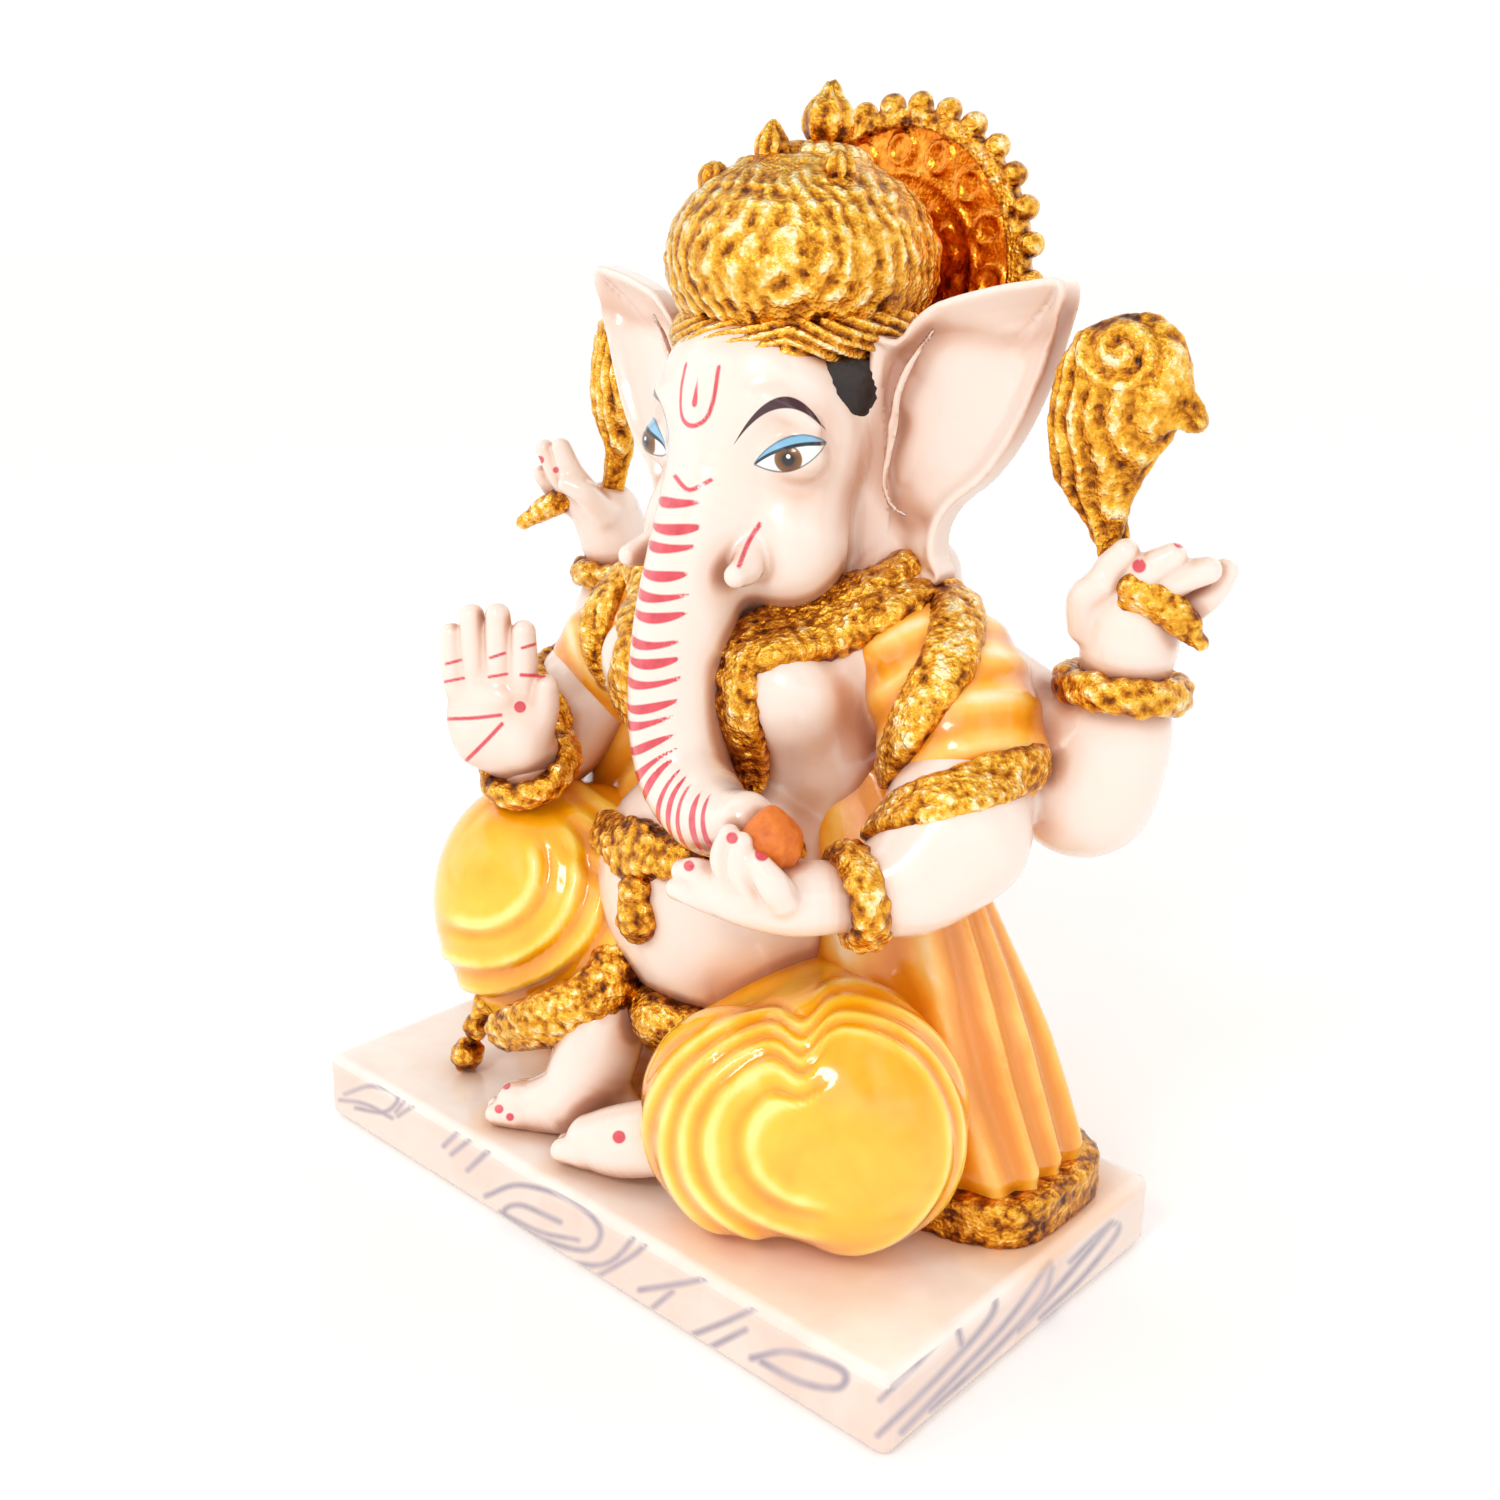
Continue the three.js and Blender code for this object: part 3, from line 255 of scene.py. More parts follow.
EAR_XZ = [(21, 166), (25.9, 165), (29.3, 168.5), (33.5, 171.3), (42, 173.8), (48.5, 175), (53.7, 175.4), (55, 172), (53.3, 165.8),
          (50.6, 157.8), (47, 149.4), (42.3, 142.4), (37.2, 137.8), (34.8, 133.5), (34.6, 129), (36, 124.5), (30, 121), (22, 121.5), (15, 124), (13, 133), (15, 142.4), (20, 154.5)]

def poly2d(pts):
    V = catmull(np.array(pts + [pts[0]], float), 3)[:-1].astype(F)
    def f(q):
        d = np.full(len(q), 1e9, F); s = np.ones(len(q), F); n = len(V)
        for i in range(n):
            j = (i - 1) % n; e = V[j] - V[i]; w = q - V[i]
            t = np.clip((w @ e) / (e @ e), 0, 1); b = w - t[:, None] * e
            d = np.minimum(d, (b * b).sum(1))
            c1 = q[:, 1] >= V[i, 1]; c2 = q[:, 1] < V[j, 1]; c3 = e[0] * w[:, 1] > e[1] * w[:, 0]
            s = np.where((c1 & c2 & c3) | (~c1 & ~c2 & ~c3), -s, s)
        return s * np.sqrt(d)
    return f

_ear2d = poly2d(EAR_XZ)
_ridge = Sw([[33, 15.4, 166.5, .9], [29.4, 14.9, 162, 1.2], [26.6, 14.6, 156, 1.4], [26.0, 14.7, 150.5, 1.4], [25.0, 14.8, 145.5, 1.3], [24.6, 14.6, 140.5, 1.2], [26.6, 14.9, 136.6, 1.0], [30.5, 15.8, 135.2, .7]], n=4)

def ear_field(side):
    def f(p):
        q = p.copy(); q[:, 0] *= side
        d2 = _ear2d(np.stack([q[:, 0], q[:, 2]], 1)) + 0.9
        inn = np.clip(-d2, 0, 11)
        y0 = 17 + (q[:, 0] - 24) * 0.22 + 3.6 * np.sin(np.minimum(inn / 11, 1) * np.pi / 2)
        top = sstep(160, 172, q[:, 2])
        y0 = y0 - 1.4 * top * sstep(6, 0.5, inn)
        w = np.abs(q[:, 1] - y0) - 0.9 - 0.9 * np.exp(-(inn / 1.8) ** 2)
        d = np.sqrt(np.maximum(d2, 0) ** 2 + np.maximum(w, 0) ** 2) + np.minimum(np.maximum(d2, w), 0) - 0.8
        return smin(d, _ridge(q) + 0.5, 3.2)
    xs = sorted([side * 11, side * 58])
    return Fn(f, [xs[0], 11, 117], [xs[1], 32, 179])

N = {}
NECK_ = [[27, 25, 124, 6.5], [28, 22, 118, 8.5], [29, 19, 114, 10]]
N['torso'] = union([Sw(NECK_), Sw(mir(NECK_)), Ell([0, 1, 62], [26, 21, 26]), Ell([0, 11, 97], [29, 17, 24]),
    Ell([15, -1.2, 104], [12.5, 8.6, 10], k=7), Ell([-15, -1.2, 104], [12.5, 8.6, 10], k=7),
    Sw([[-36, 18, 108, 9], [-20, 16, 112, 11], [20, 16, 112, 11], [36, 18, 108, 9]]),
    Ell([0, 16, 72], [28, 15, 40]), Ell([0, 14, 122], [14, 12, 10])], 6)
N['head'] = union([Ell([0, 14, 149], [20.5, 18, 20]), Ell([0, 6, 156], [17, 11, 13]), Ell([0, 10, 139], [18, 12, 13]),
    Ell([11.5, 6, 129], [10, 10, 12]), Ell([-11.5, 6, 129], [10, 10, 12]),
    Ell([15.2, 2.2, 145.4], [5.6, 4.6, 4.2], k=2.5), Ell([-15.2, 2.2, 145.4], [5.6, 4.6, 4.2], k=2.5),
    Sw([[6.5, -2.2, 149.5, 1.2], [12, -2.0, 154.6, 1.5], [18.5, 2.8, 150.6, 1.0]], k=3), Sw(mir([[6.5, -2.2, 149.5, 1.2], [12, -2.0, 154.6, 1.5], [18.5, 2.8, 150.6, 1.0]]), k=3),
    Sw([[0, 14, 128, 15], [0, 15, 118, 14]])], 5)
TRUNK = Sw([[0, 8, 152, 12], [0, 1, 141, 10.4], [0, -5, 129, 9.2], [0, -9, 115, 9.2], [1, -11.5, 101, 9.2], [5, -14, 90.5, 8.6], [13, -17, 86, 7.6], [21, -20.5, 86.4, 6.2], [27.5, -22.6, 88.6, 5.2]], n=5)
N['trunk'] = TRUNK
N['tusk_left'] = Sw([[9, -1, 131, 3.2], [12, -6, 127, 2.9], [13, -10, 126, 2.1]], k=1.2)
N['tusk_right'] = Sw(mir([[9, -1, 131, 3.2], [12, -6, 127, 2.9], [13, -10, 126, 2.1]]), k=1.2)
N['ear_left'] = ear_field(1); N['ear_right'] = ear_field(-1)
N['upper_arm_left_front'] = Sw([[40, 16, 104, 12], [47, 10, 94, 12], [52, 3, 87, 11.5]])
N['forearm_left_front'] = Sw([[52, 2, 86, 11.5], [50, -6, 80.5, 9.6], [44.5, -14.5, 78, 6.2]])
N['upper_arm_right_front'] = Sw([[-35.5, 14.5, 104, 11], [-43, 10, 94, 11], [-48.5, 4, 85, 11]])
N['forearm_right_front'] = Sw([[-49, 3, 84, 11], [-45.5, -5, 79.5, 9.4], [-40, -11.5, 80.5, 6.8]])
N['upper_arm_left_back'] = Sw([[38, 22, 106, 11], [50, 27, 97, 12], [60, 28.5, 91, 11.5]])
N['forearm_left_back'] = Sw([[61, 28, 91, 11.5], [65, 28, 100, 10.3], [67, 27, 110.5, 7.4]])
N['upper_arm_right_back'] = Sw([[-38, 22, 106, 11], [-50, 27, 96, 12], [-59, 30.5, 92, 11.5]])
N['forearm_right_back'] = Sw([[-60, 31, 92, 11.5], [-61, 32, 100, 9.8], [-60.5, 32.5, 110.5, 7.0]])
N['hand_left_front'] = union([Sw([[44, -15.5, 78, 5.8], [38, -21.8, 78, 6.4], [31.5, -26.6, 78.4, 5.6], [25.5, -27.8, 77.8, 4.2]], k=2),
    Sw([[31.6, -28.6, 80.5, 2.7], [30.4, -30.6, 85, 2.45], [30.8, -30, 89, 1.95]]), Sw([[35, -29, 80.5, 2.7], [34.4, -31, 84.8, 2.4], [33.9, -30.4, 88.6, 1.95]]),
    Sw([[39.8, -27, 80, 3.0], [39.6, -29.4, 83.2, 2.6], [37.2, -30.2, 86, 2.1]]), Sw([[27, -28.4, 79.6, 2.8], [23.4, -29.8, 80.6, 2.4], [20, -29.6, 79.8, 2.0]]),
    Sw([[26.5, -28.6, 76.6, 2.7], [22.6, -30, 76.8, 2.3], [18.8, -29.8, 76.4, 1.95]])], 1.1)
N['hand_right_front'] = union([Sw([[-39.5, -13.8, 84, 7.4], [-41, -17.4, 88.6, 9.8], [-42.2, -18.8, 91.6, 9.8]], flat=0.46, nrm=[0.45, -0.9, 0], k=2.5),
    Ell([-36.6, -16.6, 88.5], [4.4, 3.6, 6.2], k=2.5), Ell([-46.6, -20.6, 88.5], [4, 3.4, 6.5], k=2.5), Ell([-43.2, -20.2, 96.4], [7, 2.6, 2.6], k=2),
    Sw([[-48.8, -21.9, 97, 2.9], [-49.1, -22.6, 102, 2.75], [-49.2, -22.8, 107.2, 2.3]]), Sw([[-45, -20.2, 99, 3.0], [-45.1, -20.8, 105, 2.8], [-45.2, -21, 111.2, 2.4]]),
    Sw([[-40.6, -18.2, 99, 3.0], [-40.3, -18.5, 105, 2.85], [-40.2, -18.8, 111.8, 2.4]]), Sw([[-36.4, -16.2, 98, 2.9], [-36, -16.2, 103, 2.7], [-35.6, -16.4, 109, 2.3]]),
    Sw([[-36, -15, 88, 3.6], [-33.4, -14, 93, 3.1], [-32.4, -13.8, 98.4, 2.4]])], 1.1)
N['hand_left_back'] = union([Sw([[67, 27, 112, 6.6], [68, 26, 117, 8], [69, 25, 123.5, 8]], k=3),
    Sw([[66, 20.5, 125, 3.2], [67.6, 18.2, 130.5, 2.8], [70.5, 17.6, 134.4, 2.2]]), Sw([[69.5, 20.5, 126, 3.2], [73.5, 19.8, 131.5, 2.8], [77, 20.8, 134.2, 2.2]]),
    Sw([[72, 22, 126, 3.2], [77.5, 22.8, 130.5, 2.7], [81.3, 24.4, 132.2, 2.2]]), Sw([[74.5, 26, 123, 3.2], [79.8, 28, 127.5, 2.6], [82, 29, 131.5, 2.1]]),
    Sw([[63, 21, 121, 3.4], [64, 17.8, 126, 2.9], [67.5, 16.6, 129.4, 2.3]])], 1.2)
N['hand_right_back'] = union([Sw([[-60.5, 32.5, 112, 6.4], [-61, 31.6, 117, 7.6], [-62.6, 30.4, 123, 7.4]], k=3),
    Sw([[-64.5, 25.4, 125, 3.1], [-68, 22.3, 131, 2.7], [-70.6, 20, 137.3, 2.1]]), Sw([[-61, 25, 126.5, 3.1], [-64, 21.7, 132.6, 2.6], [-66.2, 20.6, 138, 2.1]]),
    Sw([[-66.8, 28, 123.5, 3.1], [-71, 24.4, 127, 2.6], [-73.4, 21.6, 131.5, 2.1]]), Sw([[-58.4, 26, 124, 3.1], [-60, 22, 128.6, 2.6], [-63.4, 19.8, 130.6, 2.1]])], 1.2)
N['foot_right'] = union([Sw([[-14, -15, 41, 7.8], [-12, -20, 32, 8.4], [-13, -24, 23.5, 7.6], [-19, -27.5, 19.6, 5.6], [-24, -30, 18.6, 4.6]], k=2.5),
    Sw([[-22, -32.4, 18, 2.6], [-26.5, -34, 16.8, 2.1]]), Sw([[-24, -30.4, 18, 2.4], [-28.6, -31.8, 16.8, 2.0]]), Sw([[-25, -28.2, 17.8, 2.3], [-29.4, -29.2, 16.7, 1.9]]),
    Sw([[-24.6, -26, 17.8, 2.2], [-29, -26.6, 16.6, 1.8]]), Ell([-9, -20, 19.5], [6.4, 6.4, 5.2], k=3)], 1.2)
N['foot_left'] = union([Sw([[15, -25, 26, 7], [5, -28.6, 22, 6.8], [-2, -30.6, 19.8, 5.2]], k=2.5),
    Sw([[-2, -33.4, 18.8, 2.8], [-6.4, -34.4, 17.6, 2.3]]), Sw([[-4, -31, 18.8, 2.5], [-8.2, -31.6, 17.2, 2.0]]), Sw([[-4.4, -28.6, 18.4, 2.3], [-8.4, -28.8, 17, 1.9]])], 1.2)
N['leg_right'] = union([Ell([-43, -9.5, 50], [20, 20.5, 25.5]), Sw([[-30, -9, 50, 16], [-17, -8.5, 50, 10.5]]), Sw([[-14, 8, 48, 20], [-36, -2, 54, 20]])], 7)
N['leg_left'] = union([Ell([45, -15, 37.6], [21.5, 19.8, 23.2]), Ell([29.5, -25.4, 34.8], [18.8, 15.2, 20.5]), Sw([[14, 4, 36, 19], [34, -6, 38, 19]])], 5)
N['seat_dhoti'] = union([Ell([0, 12, 33], [34, 24, 20]), Sw([[-28, 0.5, 21.5, 11.5], [28, 0.5, 21.5, 11.5]])], 4)
N['base_slab'] = Box([0, 0, 7.15], [75, 40.4, 7.15], 2.2)

N['hair_band'] = Ell([0, 18, 156.5], [22.6, 17.5, 15])
N['crown_band'] = union([Ell([0, 20, 166], [23.8, 22.8, 8], rot=(8, 0, 0))], 1)
N['crown_dome'] = union([Ell([0, 20.5, 177], [24.5, 24.5, 18.8])], 3)
N['crown_tier'] = union([Tor([1, 24, 193.5], [0, 0.15, 1], 6.2, 2.9, 2.6), Ell([1, 24, 193], [7, 7, 4.5])], 1.5)
N['crown_top_finial'] = union([Ell([1, 25.5, 200.5], [4.6, 4.6, 4.8]), Ell([1, 26, 204.5], [1.8, 1.8, 3])], 1)
N['crown_front_finial'] = union([Ell([-1, 13, 195.5], [3, 3, 3.4]), Ell([-1, 13, 198.2], [1.3, 1.3, 2])], 1)
N['crown_side_finial_left'] = Ell([13, 14, 192], [2.8, 2.8, 3])
N['crown_side_finial_right'] = Ell([-11, 9, 190.5], [2.8, 2.8, 3])

HC = (1, 45, 174); HR = 33.5; LOBES = 30
def _halo(p):
    x = p[:, 0] - HC[0]; z = p[:, 2] - HC[2]; y = p[:, 1] - HC[1] - 0.10 * z
    return x, y, z, np.sqrt(x * x + z * z), np.arctan2(z, x)
def halo_rim(p):
    x, y, z, r, a = _halo(p)
    d = np.maximum(np.maximum(r - (HR - 3.6), (HR - 6.0) - r), np.abs(y) - 1.7) - 0.3
    k = np.round(a / (2 * np.pi) * LOBES); ab = k * 2 * np.pi / LOBES
    bx = x - (HR - 2.4) * np.cos(ab); bz = z - (HR - 2.4) * np.sin(ab)
    bead = np.sqrt(bx * bx + bz * bz + (y * 0.9) ** 2) - 2.35
    k2 = (np.floor(a / (2 * np.pi) * LOBES) + 0.5) * 2 * np.pi / LOBES
    cx = x - (HR - 4.8) * np.cos(k2); cz = z - (HR - 4.8) * np.sin(k2)
    bead2 = np.sqrt(cx * cx + cz * cz + (y * 0.9) ** 2) - 1.9
    return smin(smin(d, bead, 0.6), bead2, 0.5)
N['halo_rim'] = Fn(halo_rim, [HC[0] - 35, 38, HC[2] - 35], [HC[0] + 35, 52, HC[2] + 35])
def halo_field(p):
    x, y, z, r, a = _halo(p)
    y = y - 0.6
    rel = np.zeros(len(p), F)
    u = r - 19; rel += 0.55 * np.exp(-(u / 0.8) ** 2)
    k = np.round(a / (2 * np.pi) * 16); ab = k * 2 * np.pi / 16
    ax = x - 23.2 * np.cos(ab); az = z - 23.2 * np.sin(ab)
    rel += 0.7 * np.exp(-((np.sqrt(ax * ax + az * az) - 2.6) / 0.55) ** 2)
    k = np.round(a / (2 * np.pi) * 20); ab = k * 2 * np.pi / 20
    rel += 0.5 * np.clip(1 - ((np.sqrt((x - 15 * np.cos(ab)) ** 2 + (z - 15 * np.sin(ab)) ** 2)) / 1.5) ** 2, 0, 1)
    return np.maximum(r - (HR - 5.6), np.abs(y) - 1.0 - np.where(y < 0, rel, 0)) * 0.8
N['halo_field'] = Fn(halo_field, [HC[0] - 29, 40, HC[2] - 29], [HC[0] + 29, 51, HC[2] + 29])

N['bracelet_left_front'] = Tor([44.6, -14.2, 78], [-0.5, -0.85, -0.15], 7.0, 2.5, 3.4)
N['bracelet_right_front'] = Tor([-39.3, -12.5, 81], [0.1, -0.6, 0.8], 8.2, 2.5, 3)
N['bracelet_left_back'] = Tor([67, 27, 110], [0, 0.1, 1], 9.3, 2.4, 3.2)
N['bracelet_right_back'] = Tor([-60.5, 32.5, 110], [0, 0.1, 1], 8.8, 2.4, 3)
N['modak'] = union([Ell([35, -24.5, 87.6], [5.1, 5.1, 4.9]), Ell([35, -24.5, 91.6], [1.6, 1.6, 2])], 2.5)
N['attribute_left'] = union([Sw([[64.5, 21.5, 138.6, 2.4], [63, 20.5, 148, 7.4], [65.5, 21, 159, 10.3], [67, 22, 163, 7.5]], flat=0.5, nrm=[-0.3, 0.95, 0]),
    Sw([[69, 23, 158.5, 4], [73.5, 24, 157.2, 2.6], [77, 25, 154.6, 1.5]]), Sw([[66.5, 23, 129, 2.2], [64.5, 21.5, 139.5, 2.6]])], 2)
N['attribute_left_handle'] = union([Sw([[72, 19.5, 129, 3.4], [77.6, 22.3, 124.4, 2.6], [81, 25, 120.5, 1.4]]), Sw([[71, 18.6, 126, 1.6], [75.5, 20.6, 128.6, 1.6], [80, 23.8, 124, 1.4]])], 1.2)
N['attribute_right'] = union([Sw([[-58.5, 30.5, 138.6, 2.4], [-60, 30, 147, 6.6], [-58.5, 31.5, 159, 8.6], [-57, 32.5, 167, 5.4]], flat=0.55, nrm=[0.3, 0.95, 0]),
    Sw([[-60.5, 30, 128, 2.2], [-58.5, 30.5, 139, 2.6]])], 2)
N['attribute_right_handle'] = Sw([[-67.5, 22.5, 127, 2.8], [-71, 19.5, 124.5, 2.5], [-74.5, 16.5, 121.5, 1.4]])
N['ankle_hem_right'] = Sw([[-13, -13, 52, 4.4], [-10.5, -20, 44, 5.6], [-19, -27, 37.5, 5.6], [-30, -28, 31.5, 4.4]], flat=0.6, nrm=[0.4, -0.9, 0])
N['tassel'] = union([Ell([-48, -24, 18.0], [3.5, 3.5, 3.5]), Ell([-46.5, -22.6, 24.5], [2.8, 2.8, 3.2]), Sw([[-45.5, -22, 27.5, 2.4], [-43, -19.5, 33, 3.8]])], 0.8)
COL = [[27, 19, 125, 3.2], [25, 13.5, 123, 3.6], [17, 5, 118.5, 3.8], [8, -5.5, 112.5, 3.6]]
COL2 = [[33, 16, 121, 3.2], [31, 11, 119.5, 3.6], [24, 5.5, 115.8, 3.8], [16.5, -4, 112, 3.8], [11, -7.5, 109.5, 3.4]]
N['collar'] = union([Sw(COL), Sw(mir(COL)), Sw(COL2), Sw(mir(COL2)), Sw([[9.5, -6, 111.5, 3.8], [0, -8.5, 107.5, 3.8], [-9.5, -6, 111.5, 3.8]])], 0.8)
DROP = [[12.5, -8.6, 108, 4], [14, -8.8, 99, 4.1], [12.6, -6.6, 89.5, 3.8]]
N['necklace_drop_left'] = Sw(DROP); N['necklace_drop_right'] = Sw(mir(DROP))
N['waist_chain'] = union([Sw([[-25.5, -3, 67, 2.8], [-17, -12.5, 72.8, 3.4], [-6, -17, 73.6, 4], [6, -17, 75, 3.8], [16, -13.5, 76.5, 3.4], [24, -5, 79, 3.2]]), Ell([-4, -17.2, 73.5], [6.5, 4.2, 6])], 1.5)
N['waist_pendant'] = union([Ell([-1.6, -19.6, 67], [3.8, 3.4, 3.6]), Ell([-0.8, -19.8, 61.8], [4.4, 4, 4.8])], 0.8)
N['belt_buckle'] = Sw([[-6, -13, 42, 3.8], [1, -16.2, 40.5, 5], [8, -14.6, 41.2, 4]])
N['shawl_left'] = Sw([[26, 18, 113, 11], [38, 17, 107, 14], [46, 13, 97, 14.6]])
N['shawl_left_lapel'] = Sw([[39.5, -1, 95, 2.2], [42.8, -0.4, 102.2, 3.4], [44.6, 2.3, 108.1, 3.9], [45.4, 6.9, 113.4, 4.2], [42.8, 13, 117.8, 4.3], [37.4, 19.6, 120.6, 4.2]], n=3)
N['shawl_left_border'] = Sw([[42, -7.3, 88.5, 2.8], [46.5, -7, 91, 3.4], [50.5, -6.6, 93.3, 3.6], [54.6, -4.2, 95.2, 3.8], [57.6, -0.4, 96.7, 3.8], [59.2, 5.6, 97.6, 3.6], [59.6, 12, 98, 3.4]], n=3)
N['shawl_right'] = Sw([[-26, 18, 113, 10.4], [-34, 16.5, 106, 12.6], [-41, 12.5, 97, 13]])
N['shawl_right_lapel'] = Sw([[-33, 3.2, 97, 2.2], [-35.2, 2.2, 103, 2.9], [-36.4, 3.2, 108.5, 3.3], [-36.4, 6.4, 113, 3.5], [-34.2, 11.4, 116.8, 3.5], [-30, 18, 119.4, 3.4]], n=3)
N['shawl_right_border'] = Sw([[-37.5, -5.6, 88.6, 2.6], [-41.4, -5.4, 90.8, 3], [-45.6, -4.8, 92.6, 3.2], [-49.6, -2.4, 94.2, 3.2], [-52.8, 1.4, 95.2, 3.2], [-54.4, 6.4, 96, 3], [-54.6, 12, 96.6, 2.8]], n=3)

CRX, CRY, CY0 = 72.0, 23.0, 16.0
def drape_norm(p):
    x = p[:, 0] / CRX; y = (p[:, 1] - CY0) / CRY
    n = 4 - 1.6 * np.clip((p[:, 2] - SLAB_H) / 70, 0, 1)
    return (np.abs(x) ** n + np.abs(y) ** n + 1e-9) ** (1 / n)
_cz = np.array([14.3, 24, 44, 76, 91, 94]); _cs = np.array([0.985, 0.96, 0.84, 0.6, 0.42, 0.3])
def cloak(p):
    s = np.interp(p[:, 2], _cz, _cs)
    d = (drape_norm(p) - s) * (CRY * 0.9)
    return smax(smax(d, p[:, 2] - 92.0, 3.0), 14.4 - p[:, 2], 0.3)
N['cloak'] = Fn(cloak, [-74, -8, 13.5], [74, 41, 94])
def hem(p):
    d = (drape_norm(p) - 1.0) * (CRY * 0.9)
    return smax(smax(d, p[:, 2] - (SLAB_H + 8.6), 1.5), 14.4 - p[:, 2], 0.3)
N['cloak_hem'] = Fn(hem, [-74, -8, 13.5], [74, 41, 25])

for n_, f_ in N.items():
    if not hasattr(f_, 'lo'): raise RuntimeError(n_)

def ALL(p):
    """the whole figure, for shading where forms meet"""
    d = np.full(len(p), FAR, F)
    for f in N.values():
        ix = np.nonzero(((p > f.lo - 9) & (p < f.hi + 9)).all(1))[0]
        if len(ix): d[ix] = np.minimum(d[ix], f(p[ix]))
    return d

# ------------------------------------------------------------------ main view, for placing painted marks
VC = np.array([192.725, -205.789, 178.682])
_az, _pt, _ro = math.radians(42.502), math.radians(17.281), math.radians(0.898)
VF = np.array([-math.sin(_az) * math.cos(_pt), math.cos(_az) * math.cos(_pt), -math.sin(_pt)])
_r0 = np.array([math.cos(_az), math.sin(_az), 0.0]); _u0 = np.cross(_r0, VF)
ROLL = 1
VR = _r0 * math.cos(_ro) + ROLL * _u0 * math.sin(_ro); VU = _u0 * math.cos(_ro) - ROLL * _r0 * math.sin(_ro)
VFOC, VX, VY, VSIZE = 1588.1, 734.67, 744.79, 1500.0
def plan(P):
    """where a point sits in the main view, 0 to VSIZE from the top left"""
    d = np.asarray(P, float) - VC; w = d @ VF
    return np.stack([VX + VFOC * (d @ VR) / w, VY - VFOC * (d @ VU) / w], 1)

def seg_d(Q, pts):
    """distance from 2-D points to a polyline, smoothed"""
    C = catmull(np.array(pts, float), 6) if len(pts) > 2 else np.array(pts, float)
    best = np.full(len(Q), 1e9)
    for a, b in zip(C[:-1], C[1:]):
        ab = b - a; t = np.clip(((Q - a) @ ab) / (ab @ ab + 1e-9), 0, 1)
        best = np.minimum(best, np.linalg.norm(Q - a - t[:, None] * ab, axis=1))
    return best

def ramp(sd):  # signed distance in mm, negative inside -> wide linear ramp crossing 0.5 on the edge
    return np.clip(0.5 - sd / 4.0, 0, 1)

def facing(P, N): 
    v = VC - P; v /= np.linalg.norm(v, axis=1, keepdims=True)
    return (N * v).sum(1)

def marks(P, N, items):
    Q = plan(P); k = VFOC / ((P - VC) @ VF); sd = np.full(len(P), 9.0)
    for pts, w in items: sd = np.minimum(sd, seg_d(Q, pts) / k - w) if len(pts) > 1 else np.minimum(sd, np.linalg.norm(Q - np.array(pts[0]), axis=1) / k - w)
    return np.where(facing(P, N) > 0.12, sd, 9.0)

# ------------------------------------------------------------------ gold relief
# the second value is a tone, bright on raised relief and dark in its hollows: painted light and shade on the gold
def gold_relief(P, N, amp=1.0, cell=1.45):
    Pw = P + 0.7 * np.stack([fbm(P, 3.2, 2, 21), fbm(P, 3.2, 2, 22), fbm(P, 3.2, 2, 23)], 1)
    w = worley(Pw, cell, 3); g = 1 - np.clip(w / 0.8, 0, 1)
    f = fbm(Pw, 2.0, 3, 11); rg = 1 - np.abs(fbm(Pw, 1.7, 2, 12)) * 2.2
    h = amp * (0.20 * (g - 0.35) + 0.34 * f + 0.16 * (rg - 0.5))
    return h, np.clip(0.52 + 0.45 * (g - 0.4) + 0.5 * f + 0.25 * (rg - 0.5), 0, 1)

def along(sw, P):
    d, t = sw.full(np.asarray(P, F)); C = sw.C; L = np.concatenate([[0], np.cumsum(np.linalg.norm(np.diff(C, axis=0), axis=1))])
    return d, np.interp(t, np.arange(len(L)), L), t

def beads(sw, P, pitch, amp):
    d, L, t = along(sw, P); ph = np.abs(((L / pitch) % 1) - 0.5) * 2
    return amp * (np.sqrt(np.clip(1 - ph ** 2, 0, 1)) - 0.6), np.sqrt(np.clip(1 - ph ** 2, 0, 1))

